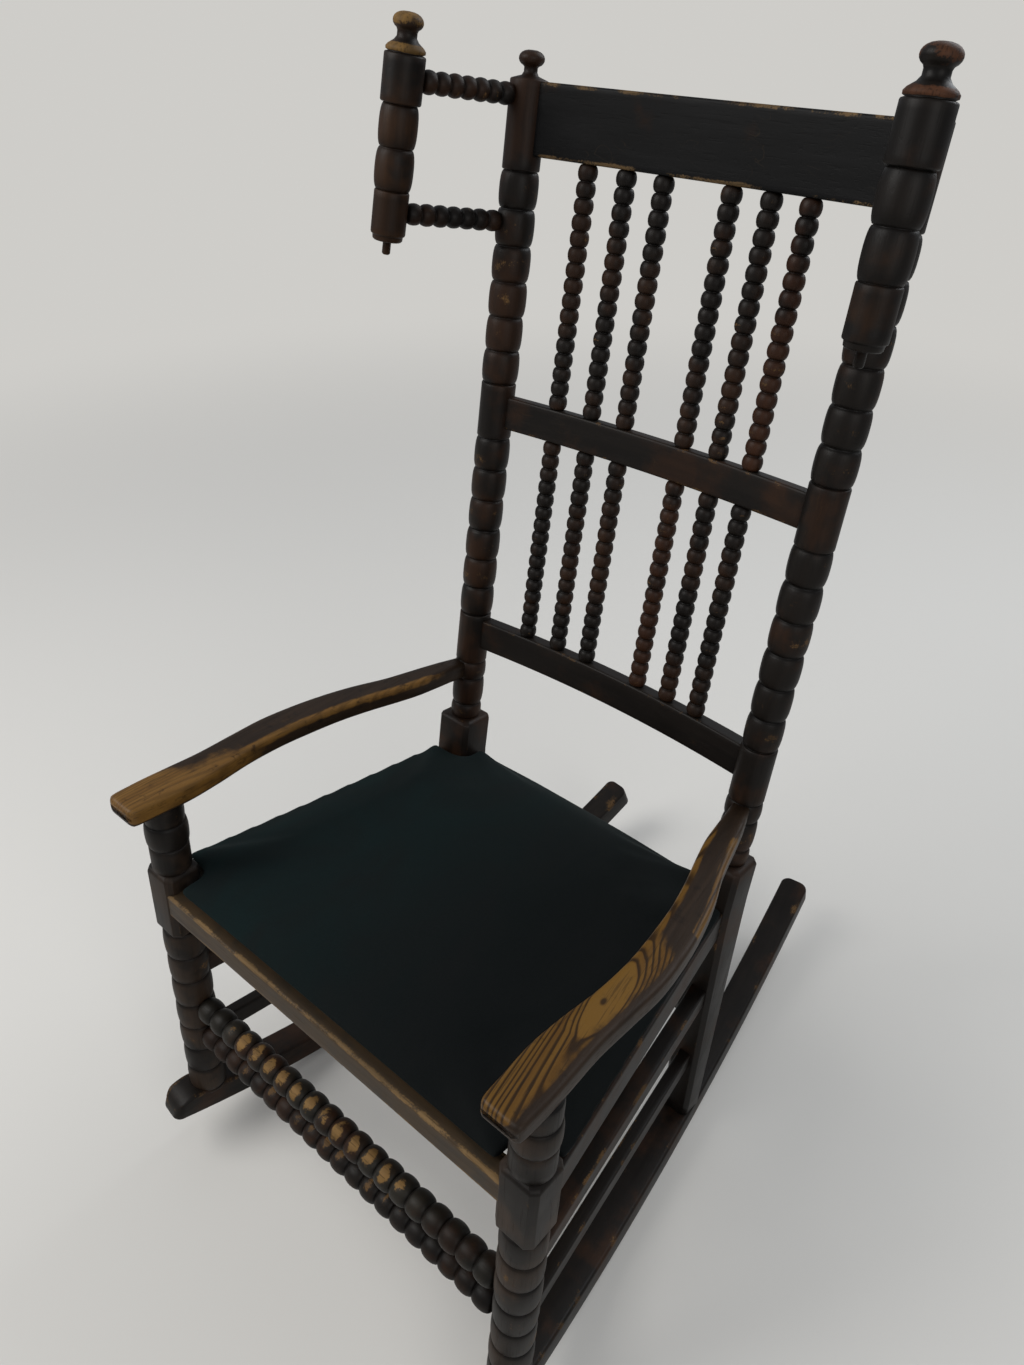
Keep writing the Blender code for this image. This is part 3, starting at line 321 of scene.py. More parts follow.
def rubbed_through_group() -> EffectGroup:
    """Where the stain is rubbed through: what stands proud first, in uneven patches."""
    sockets = {"Vector": None, "Exposure": 0.0, "Amount": 0.3, "Patches": 45.0}
    group = EffectGroup("rubbed_through", sockets, ("Mask",))
    graph, inputs = group.graph, group.inputs
    broad = graph.noise(inputs["Vector"], inputs["Patches"], detail=5.0, roughness=0.6)
    broad = graph.spread(broad, (0.3, 0.7), (0.35, 1.15), smooth=False)
    fine = graph.noise(inputs["Vector"], 700.0, detail=3.0, roughness=0.6)
    fine = graph.spread(fine, (0.3, 0.7), (0.82, 1.12), smooth=False)
    level = graph.math("MULTIPLY", graph.math("MULTIPLY", inputs["Exposure"], broad), fine)
    start = graph.math("SUBTRACT", 1.0, inputs["Amount"])
    ramp = {0: level, 1: start, 2: graph.math("ADD", start, 0.22)}
    group.give("Mask", graph.add("ShaderNodeMapRange", ramp, interpolation_type="SMOOTHSTEP").outputs[0])
    return group


def scuff_group() -> EffectGroup:
    """Hairline scratches and small dents."""
    group = EffectGroup("scuffs", {"Vector": None}, ("Scratches", "Dents"))
    graph, inputs = group.graph, group.inputs
    bent = graph.vector("MULTIPLY", inputs["Vector"], (1.0, 0.35, 0.22))
    thread = graph.noise(bent, 130.0, detail=1.0, roughness=0.4, distortion=1.2)
    thread = graph.math("ABSOLUTE", graph.math("SUBTRACT", thread, 0.5))
    where = graph.spread(graph.noise(inputs["Vector"], 26.0, detail=2.0), (0.5, 0.62))
    group.give("Scratches", graph.math("MULTIPLY", graph.spread(thread, (0.0, 0.010), (1.0, 0.0)), where))
    dents = graph.noise(inputs["Vector"], 190.0, detail=2.0, roughness=0.5)
    group.give("Dents", graph.spread(dents, (0.62, 0.72)))
    return group


GRAIN = wood_grain_group()
RUBBED = rubbed_through_group()
SCUFFS = scuff_group()


class Finish:
    """What every finish has: a name, a material and its nodes."""

    name: str

    def material(self) -> bpy.types.Material:
        """The finish as a material."""
        material = bpy.data.materials.new(self.name)
        material.use_nodes = True
        self.dress(Graph(material.node_tree), material.node_tree.nodes["Principled BSDF"])
        return material

    def dress(self, graph: Graph, shader: bpy.types.Node) -> None:
        """Puts in the finish's nodes, which each finish has of its own."""
        raise NotImplementedError

    @staticmethod
    def turned_coordinates(graph: Graph, grain: Point, shift: Point = (0.0, 0.0, 0.0)) -> Socket:
        """Object coordinates, turned until Z runs along the grain.

        Args:
            graph: the material's nodes.
            grain: the direction of the grain.
            shift: moves the pattern, so that two pieces don't share it.

        Returns:
            The coordinates.
        """
        turn = Vector(grain).to_track_quat("Z", "Y").inverted().to_euler()
        values = {"Vector": graph.place(), "Location": shift, "Rotation": tuple(turn)}
        return graph.add("ShaderNodeMapping", values).outputs[0]

    @staticmethod
    def bump(graph: Graph, shader: bpy.types.Node, height: Socket, strength: float, depth: float) -> None:
        """Gives the shader a bumped normal.

        Args:
            graph: the material's nodes.
            shader: the material's shader.
            height: how the surface rises and falls.
            strength: how much of it shows.
            depth: the height of a full step in metres.
        """
        bump = graph.add("ShaderNodeBump", {"Height": height, "Strength": strength, "Distance": depth})
        graph.wire(shader, {"Normal": bump.outputs[0]})


@dataclass(frozen=True)
class StainedWood(Finish):
    """Dark stain over grain, rubbed through where hands, heads and feet touch it."""

    name: str
    grain: Point
    stain: Colour = (0.0060, 0.0044, 0.0034)
    undertone: Colour = (0.0180, 0.0080, 0.0038)
    undertone_share: float = 0.30
    worn: Colour = (0.110, 0.060, 0.022)
    wear: float = 0.20
    patches: float = 45.0
    streaks: float = 60.0
    roughness: float = 0.46
    specular: float = 0.14
    shift: Point = (0.0, 0.0, 0.0)

    def dress(self, graph: Graph, shader: bpy.types.Node) -> None:
        """Puts in the finish's nodes."""
        vector = self.turned_coordinates(graph, self.grain, self.shift)
        grain = GRAIN.place(graph, Vector=vector, Streaks=self.streaks)
        scuffs = SCUFFS.place(graph, Vector=vector)
        exposure = graph.add("ShaderNodeAttribute", attribute_name=EXPOSURE).outputs["Fac"]
        worn_by = {"Exposure": exposure, "Amount": self.wear, "Patches": self.patches}
        mask = RUBBED.place(graph, Vector=vector, **worn_by)["Mask"]
        cloud = graph.noise(vector, 13.0, detail=4.0, roughness=0.6)
        drop = self.undertone_share * 0.5
        tint = graph.spread(cloud, (0.62 - drop, 0.78 - drop))
        stain = graph.mix(tint, self.stain, self.undertone)
        stain = graph.scaled(stain, graph.spread(grain["Streaks"], (0.0, 1.0), (0.75, 1.3), smooth=False))
        stain = graph.scaled(stain, graph.spread(exposure, (0.0, 0.55), (0.42, 1.0)))
        worn = graph.mix(grain["Streaks"], tuple(part * 0.42 for part in self.worn), self.worn)
        worn = graph.scaled(worn, graph.spread(grain["Pores"], (0.0, 1.0), (1.0, 0.45), smooth=False))
        colour = graph.mix(mask, stain, worn)
        colour = graph.mix(graph.math("MULTIPLY", scuffs["Scratches"], 0.06), colour, self.worn)
        rough = graph.spread(mask, (0.0, 1.0), (self.roughness, self.roughness + 0.14), smooth=False)
        rough = graph.math("ADD", rough, graph.spread(cloud, (0.3, 0.7), (-0.05, 0.07), smooth=False))
        rough = graph.math("ADD", rough, graph.math("MULTIPLY", grain["Pores"], 0.10))
        graph.wire(shader, {"Base Color": colour, "Roughness": rough, "Specular IOR Level": self.specular})
        height = graph.math("SUBTRACT", grain["Height"], graph.math("MULTIPLY", scuffs["Dents"], 0.8))
        height = graph.math("SUBTRACT", height, graph.math("MULTIPLY", scuffs["Scratches"], 0.6))
        self.bump(graph, shader, height, strength=0.12, depth=0.0004)


@dataclass(frozen=True)
class WornArmWood(Finish):
    """Golden wood with an oval figure, under what is left of the dark stain."""

    name: str
    oval: Point
    knot: Point
    grain: Point
    gold: Colour
    pale: Colour
    line: Colour = (0.0150, 0.0070, 0.0022)
    line_share: float = 0.9
    stain: Colour = (0.0125, 0.0072, 0.0040)
    oval_half: float = 0.012
    oval_front: float = 0.045
    oval_rear: float = 0.075
    oval_drawn: float = 0.27
    far_drawn: float = 0.07
    line_pitch: float = 0.0033
    uneven: float = 0.55
    bare_from: float = 0.45
    bare_to: float = 0.75
    smudged: float = 0.6
    roughness: float = 0.40
    specular: float = 0.16
    shift: Point = (0.0, 0.0, 0.0)

    def local(self, graph: Graph, origin: Point) -> Socket:
        """Coordinates from a point of the arm, with Z along its grain."""
        turn = Vector(self.grain).to_track_quat("Z", "Y").inverted()
        values = {"Location": tuple(turn @ -Vector(origin)), "Rotation": tuple(turn.to_euler())}
        return graph.add("ShaderNodeMapping", {"Vector": graph.place(), **values}).outputs[0]

    def figure(self, graph: Graph) -> tuple[Socket, Socket]:
        """The growth rings where the board's face cuts them.

        Args:
            graph: the material's nodes.

        Returns:
            A value that is 1 on the dark lines, and one that is 1 inside the oval.
        """
        split = graph.add("ShaderNodeSeparateXYZ", {0: self.local(graph, self.oval)}).outputs
        near = graph.math("MINIMUM", graph.math("MAXIMUM", split["Z"], -self.oval_front), self.oval_rear)
        beyond = graph.math("MULTIPLY", graph.math("SUBTRACT", split["Z"], near), self.far_drawn)
        long = graph.math("MULTIPLY_ADD", near, self.oval_drawn, beyond)
        level = graph.math("MULTIPLY", split["Y"], 0.25)
        drawn = graph.add("ShaderNodeCombineXYZ", {"X": split["X"], "Y": level, "Z": long}).outputs[0]
        sway = graph.math("SUBTRACT", graph.noise(drawn, 70.0, detail=2.0, roughness=0.4), 0.5)
        radius = graph.math("ADD", graph.length(drawn), graph.math("MULTIPLY", sway, 0.006))
        past = graph.math("SUBTRACT", radius, self.oval_half)
        count = graph.math("DIVIDE", past, self.line_pitch)
        step = graph.math("FRACT", graph.math("ADD", count, 40.0))
        fading = graph.spread(step, (0.28, 0.62), (1.0, 0.0))
        pulse = graph.math("MULTIPLY", graph.spread(step, (0.0, 0.16)), fading)
        outside = graph.spread(count, (-0.15, 0.1))
        spot = graph.vector("MULTIPLY", self.local(graph, self.knot), (1.0, 0.25, 0.6))
        knot = graph.spread(graph.length(spot), (0.0012, 0.0034), (1.0, 0.0))
        lines = graph.math("MAXIMUM", graph.math("MULTIPLY", pulse, outside), knot)
        return lines, graph.math("SUBTRACT", 1.0, outside)

    def dress(self, graph: Graph, shader: bpy.types.Node) -> None:
        """Puts in the finish's nodes."""
        vector = self.turned_coordinates(graph, self.grain, self.shift)
        grain = GRAIN.place(graph, Vector=vector, Streaks=85.0)
        scuffs = SCUFFS.place(graph, Vector=vector)
        exposure = graph.add("ShaderNodeAttribute", attribute_name=EXPOSURE).outputs["Fac"]
        uneven = graph.math("SUBTRACT", graph.noise(vector, 60.0, detail=5.0, roughness=0.62), 0.5)
        rubbed = graph.math("MULTIPLY_ADD", uneven, self.uneven, exposure)
        mask = graph.spread(rubbed, (self.bare_from, self.bare_to))
        lines, inside = self.figure(graph)
        paler = graph.math("MAXIMUM", graph.math("MULTIPLY", grain["Streaks"], 0.7), inside)
        gold = graph.mix(paler, self.gold, self.pale)
        gold = graph.mix(graph.math("MULTIPLY", lines, self.line_share), gold, self.line)
        gold = graph.scaled(gold, graph.spread(grain["Pores"], (0.0, 1.0), (1.0, 0.6), smooth=False))
        stain = graph.mix(grain["Streaks"], self.stain, tuple(part * 1.8 for part in self.stain))
        colour = graph.mix(mask, stain, gold)
        smudge = graph.noise(vector, 75.0, detail=5.0, roughness=0.65)
        colour = graph.scaled(colour, graph.spread(smudge, (0.56, 0.72), (1.0, self.smudged)))
        rough = graph.spread(mask, (0.0, 1.0), (self.roughness + 0.06, self.roughness), smooth=False)
        rough = graph.math("ADD", rough, graph.math("MULTIPLY", grain["Pores"], 0.16))
        graph.wire(shader, {"Base Color": colour, "Roughness": rough, "Specular IOR Level": self.specular})
        height = graph.math("SUBTRACT", grain["Height"], graph.math("MULTIPLY", lines, 0.35))
        height = graph.math("SUBTRACT", height, graph.math("MULTIPLY", scuffs["Dents"], 0.7))
        self.bump(graph, shader, height, strength=0.15, depth=0.0004)


@dataclass(frozen=True)
class Velvet(Finish):
    """Short dark green pile, its nap laid this way and that by use, with a painted sheen that makes it
    lighter teal on the left side and near black on the right.
    """

    name: str = "dark_green_velvet"
    deep: Colour = (0.0022, 0.0028, 0.0030)
    # Lighter teal where the nap lies one way; the same colour also carries the painted sheen on the left side
    # of the seat.
    brushed_and_sheen: Colour = (0.0034, 0.0098, 0.0102)
    sheen_tint: Colour = (0.30, 0.48, 0.46)

    def dress(self, graph: Graph, shader: bpy.types.Node) -> None:
        """Puts in the finish's nodes."""
        place = graph.place()
        drawn = graph.vector("MULTIPLY", place, (1.0, 0.45, 1.0))
        strokes = graph.noise(drawn, 14.0, detail=4.0, roughness=0.55, distortion=0.6)
        tufts = graph.noise(place, 900.0, detail=3.0, roughness=0.6)
        fibres = graph.noise(place, 2600.0, detail=2.0, roughness=0.6)
        across = graph.add("ShaderNodeSeparateXYZ", {0: place}).outputs["X"]
        # Painted sheen: a share that is 1 at the left side of the seat and falls to 0.08 at the right, as if
        # light fell from the left. It scales the nap strokes, so their teal shows on the left and fades to
        # near black on the right.
        painted_sheen_from_left = graph.spread(across, (-0.22, 0.14), (1.0, 0.08))
        brushed_and_sheen = graph.math("MULTIPLY", graph.spread(strokes, (0.34, 0.66), (0.45, 1.0)), painted_sheen_from_left)
        colour = graph.mix(brushed_and_sheen, self.deep, self.brushed_and_sheen)
        colour = graph.scaled(colour, graph.spread(tufts, (0.3, 0.7), (0.8, 1.2), smooth=False))
        rough = graph.spread(strokes, (0.35, 0.65), (0.86, 0.98), smooth=False)
        graph.wire(shader, {"Base Color": colour, "Roughness": rough, "Specular IOR Level": 0.12})
        sheen = {"Sheen Weight": 0.03, "Sheen Roughness": 0.45, "Sheen Tint": (*self.sheen_tint, 1.0)}
        graph.wire(shader, sheen)
        height = graph.math("ADD", graph.math("MULTIPLY", tufts, 0.7), graph.math("MULTIPLY", fibres, 0.5))
        self.bump(graph, shader, height, strength=0.30, depth=0.0006)


@dataclass(frozen=True)
class BareSoftwood(Finish):
    """Unfinished pine under the seat, greyed and dusty."""

    name: str
    grain: Point
    pale: Colour = (0.300, 0.195, 0.100)
    dark: Colour = (0.160, 0.088, 0.038)

    def dress(self, graph: Graph, shader: bpy.types.Node) -> None:
        """Puts in the finish's nodes."""
        vector = self.turned_coordinates(graph, self.grain)
        grain = GRAIN.place(graph, Vector=vector, Streaks=110.0)
        stains = graph.noise(vector, 22.0, detail=5.0, roughness=0.6)
        stains = graph.spread(stains, (0.35, 0.65), (0.62, 1.05))
        colour = graph.scaled(graph.mix(grain["Streaks"], self.dark, self.pale), stains)
        rough = graph.spread(grain["Pores"], (0.0, 1.0), (0.68, 0.85))
        graph.wire(shader, {"Base Color": colour, "Roughness": rough})
        self.bump(graph, shader, grain["Height"], strength=0.5, depth=0.0005)


@dataclass(frozen=True)
class ScrewSteel(Finish):
    """Dull steel with brown rust in its hollows."""

    name: str = "screw_steel"
    bright: Colour = (0.36, 0.34, 0.31)
    rust: Colour = (0.090, 0.038, 0.016)

    def dress(self, graph: Graph, shader: bpy.types.Node) -> None:
        """Puts in the finish's nodes."""
        rust = graph.spread(graph.noise(graph.place(), 420.0, detail=5.0, roughness=0.65), (0.45, 0.62))
        rough = graph.spread(rust, (0.0, 1.0), (0.38, 0.80))
        metal = graph.spread(rust, (0.0, 1.0), (1.0, 0.15))
        colour = graph.mix(rust, self.bright, self.rust)
        graph.wire(shader, {"Base Color": colour, "Roughness": rough, "Metallic": metal})
        self.bump(graph, shader, rust, strength=0.3, depth=0.0002)


@dataclass(frozen=True)
class PaleFloor(Finish):
    """A plain pale floor that turns into an even backdrop far behind the chair."""

    name: str = "pale_floor"
    light: Colour = (0.60, 0.59, 0.565)
    backdrop: Colour = (0.62, 0.61, 0.585)
    near: float = 1.3
    far: float = 3.2

    def dress(self, graph: Graph, shader: bpy.types.Node) -> None:
        """Puts in the finish's nodes."""
        graph.wire(shader, {"Base Color": (*self.light, 1.0), "Roughness": 0.8, "Specular IOR Level": 0.1})
        away = graph.spread(graph.length(graph.place()), (self.near, self.far))
        seen = graph.add("ShaderNodeLightPath").outputs["Is Camera Ray"]
        share = graph.math("MULTIPLY", away, seen)
        even = graph.add("ShaderNodeEmission", {"Color": (*self.backdrop, 1.0), "Strength": 1.0}).outputs[0]
        blend = graph.add("ShaderNodeMixShader", {0: share, 1: shader.outputs[0], 2: even}).outputs[0]
        graph.wire(graph.tree.nodes["Material Output"], {"Surface": blend})


class Profile:
    """The outline of a turning from its lower end up: distance along its axis, radius and exposure."""

    def __init__(self, seed: int) -> None:
        """Starts an empty outline, with its own small chances of the turner's hand."""
        self.points: list[Triple] = []
        self.chance = random.Random(seed)

    def to(self, at: float, radius: float, exposure: float) -> "Profile":
        """Goes on to a point."""
        self.points.append((at, radius, exposure))
        return self

    def drum(self, low: float, high: float, radius: float, lip: float = 0.0016) -> "Profile":
        """Goes on with a plain cylinder that has soft lips.

        Args:
            low: where it starts.
            high: where it ends.
            radius: its radius.
            lip: how much its two edges are rounded.

        Returns:
            The profile.
        """
        quarter = 0.3 * lip
        self.to(low, radius - lip, 0.15).to(low + quarter, radius - quarter, 0.6).to(low + lip, radius, 0.85)
        self.to(low + 4 * lip, radius, 0.45).to(high - 4 * lip, radius, 0.45).to(high - lip, radius, 0.85)
        return self.to(high - quarter, radius - quarter, 0.6).to(high, radius - lip, 0.15)

    def beads(
        self, low: float, high: float, count: int, radius: float, groove: float, fullness: float = 2.2,
        steps: int = 10,
    ) -> "Profile":
        """Goes on with a row of beads, each a little different from the next.

        Args:
            low: where the row starts.
            high: where it ends.
            count: how many beads.
            radius: the beads' radius.
            groove: the radius between them.
            fullness: 2 for round beads, more for barrels.
            steps: segments from groove to groove.

        Returns:
            The profile.
        """
        pitch = (high - low) / count
        for n in range(count):
            crown = radius * (1 + self.chance.uniform(-0.018, 0.010))
            drift = self.chance.uniform(-0.02, 0.02) * pitch
            for k in range(steps + (n == count - 1)):
                share = (1 - math.cos(math.pi * k / steps)) / 2
                swell = max(0.0, 1 - abs(2 * share - 1) ** fullness) ** (1 / fullness)
                at = low + (n + share) * pitch + drift * swell
                self.to(at, groove + (crown - groove) * swell, swell**3)
        return self

    def rod(self, low: float, high: float, tenon: Range, *row: float) -> "Profile":
        """Goes on with a row of beads that has a tenon at each end.

        Args:
            low: where the beads start.
            high: where they end.
            tenon: the tenons' radius and length.
            row: what beads takes from the count on.

        Returns:
            The profile.
        """
        radius, length = tenon
        self.to(low - length, radius, 0.0).to(low, radius, 0.0).beads(low, high, *row)
        return self.to(high, radius, 0.0).to(high + length, radius, 0.0)

    def knob(self, low: float, high: float, neck: float, radius: float, steps: int = 9) -> "Profile":
        """Goes on with a neck and a button on it, closed at the top.

        Args:
            low: where the neck starts.
            high: the top of the button.
            neck: the neck's radius.
            radius: the button's radius.
            steps: segments of the button's round.

        Returns:
            The profile.
        """
        tall = high - low
        self.to(low + 0.12 * tall, neck * 1.25, 0.15)
        self.to(low + 0.24 * tall, neck, 0.1).to(low + 0.40 * tall, neck, 0.1)
        middle, half = low + 0.70 * tall, 0.30 * tall
        first = -math.acos(neck / radius)
        for k in range(steps + 1):
            turn = first + (math.pi / 2 - first) * k / steps
            size = radius * math.cos(turn) ** 0.8 if turn < math.pi / 2 - 0.01 else 0.0
            self.to(middle + half * math.sin(turn), size, 0.45 + 0.55 * max(0.0, math.sin(turn + 0.6)))
        return self


class Shape:
    """A mesh in the making, whose points carry how exposed they are to wear."""

    def __init__(self) -> None:
        """Starts an empty mesh."""
        self.bm = bmesh.new()
        self.exposure = self.bm.verts.layers.float.new(EXPOSURE)

    def turn(self, place: Matrix, profile: Profile, segments: int = 32) -> "Shape":
        """Adds a turning, closed at both ends.

        Args:
            place: where it stands, with its axis along Z.
            profile: its outline.
            segments: faces round it.

        Returns:
            The shape.
        """
        (low, _, first), (high, _, last) = profile.points[0], profile.points[-1]
        path = []
        for at, radius, exposure in ((low, 0.0, first), *profile.points, (high, 0.0, last)):
            vert = self.bm.verts.new(place @ Vector((radius, 0, at)))
            vert[self.exposure] = exposure
            path.append(vert)
        edges = [self.bm.edges.new(pair) for pair in zip(path, path[1:])]
        bmesh.ops.spin(
            self.bm, geom=[*path, *edges], cent=place.translation, axis=place.col[2].to_3d(), dvec=(0, 0, 0),
            angle=math.tau, steps=segments, use_merge=True, use_duplicate=False,
        )
        bmesh.ops.remove_doubles(self.bm, verts=self.bm.verts, dist=MERGE)
        return self

    def loft(self, sections: Sequence[Section]) -> "Shape":
        """Adds a closed body that is extruded from section to section.

        Args:
            sections: each section's points in order, with their exposure.

        Returns:
            The shape.
        """
        face = self.bm.faces.new([self.bm.verts.new(point) for point, _ in sections[0]])
        self.set_ring(face, sections[0])
        for section in sections[1:]:
            grown = bmesh.ops.extrude_face_region(self.bm, geom=[face, *face.edges])["geom"]
            face = next(part for part in grown if isinstance(part, bmesh.types.BMFace))
            self.set_ring(face, section)
        return self

    def set_ring(self, face: bmesh.types.BMFace, section: Section) -> None:
        """Moves a face's points to a section."""
        for vert, (point, exposure) in zip(face.verts, section):
            vert.co = point
            vert[self.exposure] = exposure

    def bar(self, place: Matrix, size: Triple, edge: float, segments: int = 3, rim: float = 0.004) -> "Shape":
        """Adds a bar with rounded edges.

        Args:
            place: its middle and its axes.
            size: its three measures.
            edge: how much its edges are rounded.
            segments: faces across a rounded edge.
            rim: how far the wear of an edge fades into a face.

        Returns:
            The shape.
        """
        before = set(self.bm.faces)
        cube = bmesh.ops.create_cube(self.bm, size=1.0, matrix=place @ Matrix.Diagonal((*size, 1.0)))["verts"]
        edges = list({e for vert in cube for e in vert.link_edges})
        rounded = bmesh.ops.bevel(
            self.bm, geom=edges, offset=edge, offset_type="OFFSET", segments=segments, profile=0.5,
            affect="EDGES", material=-1, clamp_overlap=True,
        )["faces"]
        sides = [face for face in self.bm.faces if face not in before and face not in set(rounded)]
        rim = min(rim, min(size) / 4)
        bmesh.ops.inset_individual(self.bm, faces=sides, thickness=rim, use_even_offset=True)
        for face in rounded:
            for vert in face.verts:
                vert[self.exposure] = 1.0
        for face in sides:
            for vert in face.verts:
                vert[self.exposure] = 0.42
        return self

    def rub(self, weight: Callable[[Vector], float]) -> "Shape":
        """Makes each point's exposure more or less by where it is."""
        for vert in self.bm.verts:
            vert[self.exposure] *= weight(vert.co)
        return self

    def done(self, node: str, material: bpy.types.Material, slot: Slot = Slot.DARK_WOOD) -> bpy.types.Object:
        """Makes the finished piece, which stands for a CAD node.

        Args:
            node: the CAD node.
            material: the piece's material.
            slot: not used.

        Returns:
            The piece.
        """
        bmesh.ops.recalc_face_normals(self.bm, faces=self.bm.faces)
        for face in self.bm.faces:
            face.smooth = True
        mesh = bpy.data.meshes.new(f"{node}_finished")
        self.bm.to_mesh(mesh)
        self.bm.free()
        mesh.materials.append(material)
        piece = bpy.data.objects.new(mesh.name, mesh)
        bpy.context.scene.collection.objects.link(piece)
        return hand_over(piece, node)


def hand_over(piece: bpy.types.Object, node: str) -> bpy.types.Object:
    """Lets a piece ride on the chair in place of a CAD node, and reports it.

    Args:
        piece: the finished piece.
        node: the CAD node that it stands for.

    Returns:
        The piece.
    """
    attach(piece, BODY)
    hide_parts(node)
    LOG.info("%s: %d faces", piece.name, len(piece.data.polygons))
    return piece


def rounded_section(corners: Sequence[Corner], steps: int = 4, rim: float = 0.0) -> list[Triple]:
    """A section with rounded corners.

    Args:
        corners: each corner's x and z, its radius and its exposure, in order round the section.
        steps: segments in each rounded corner.
        rim: how far beyond each corner the wear fades. With 0 it fades halfway to the next corner.

    Returns:
        Points (x, z, exposure). Between two corners lie points that are less exposed.
    """
    points = []
    count = len(corners)
    for n, (x, z, radius, exposure) in enumerate(corners):
        here = Vector((x, z))
        before, after = Vector(corners[n - 1][:2]), Vector(corners[(n + 1) % count][:2])
        inward, onward = (before - here).normalized(), (after - here).normalized()
        reach = radius / math.tan(inward.angle(onward) / 2)
        for k in range(steps + 1):
            share = k / steps
            start, end = here + inward * reach, here + onward * reach
            bent = start.lerp(here, share).lerp(here.lerp(end, share), share)
            points.append((bent.x, bent.y, exposure))
        faded = min(exposure, corners[(n + 1) % count][3]) * 0.4
        between = [here.lerp(after, 0.5)]
        if rim:
            between = [here + onward * (reach + rim), after - onward * (reach + rim)]
        points += [(point.x, point.y, faded) for point in between]
    return points


def chamfered(half: float, cut: float) -> list[Corner]:
    """The corners of a square section whose edges are cut off at 45 degrees.

    Args:
        half: half the square's width.
        cut: how much is cut off each side of an edge.

    Returns:
        Corners for a rounded section.
    """
    corners = []
    soft, exposure = 0.0012, 0.9
    for x, y in SQUARE:
        near = (x * half, y * (half - cut), soft, exposure)
        far = (x * (half - cut), y * half, soft, exposure)
        corners += [near, far] if x == y else [far, near]
    return corners


def axis_in(place: Matrix, axis: str) -> Point:
    """The direction of a frame's axis, in the world."""
    return tuple(place.to_3x3().col["XYZ".index(axis)])


def ends_across(reach: float, depth: float, level: float) -> list[Vector]:
    """The left and right end of a piece that lies across the chair, in the seat's frame.

    Args:
        reach: distance of each end from the middle.
        depth: where the piece is along the chair.
        level: how high it is.

    Returns:
        The two ends.
    """
    return [Vector((side.value * reach, depth, level)) for side in Side]


def bar_between(ends: Sequence[Vector], thick: float, tall: float, edge: float) -> tuple[Shape, Point]:
    """A plain bar from point to point.

    Args:
        ends: its two ends, in the seat's frame.
        thick: its thickness.
        tall: its height.
        edge: how much its edges are rounded.

    Returns:
        The bar and the direction of its grain.
    """
    start, end = ends
    length = (end - start).length
    place = FRAMES.chair @ along(start, end, "X") @ Matrix.Translation((length / 2, 0, 0))
    return Shape().bar(place, (length, thick, tall), edge), axis_in(place, "X")


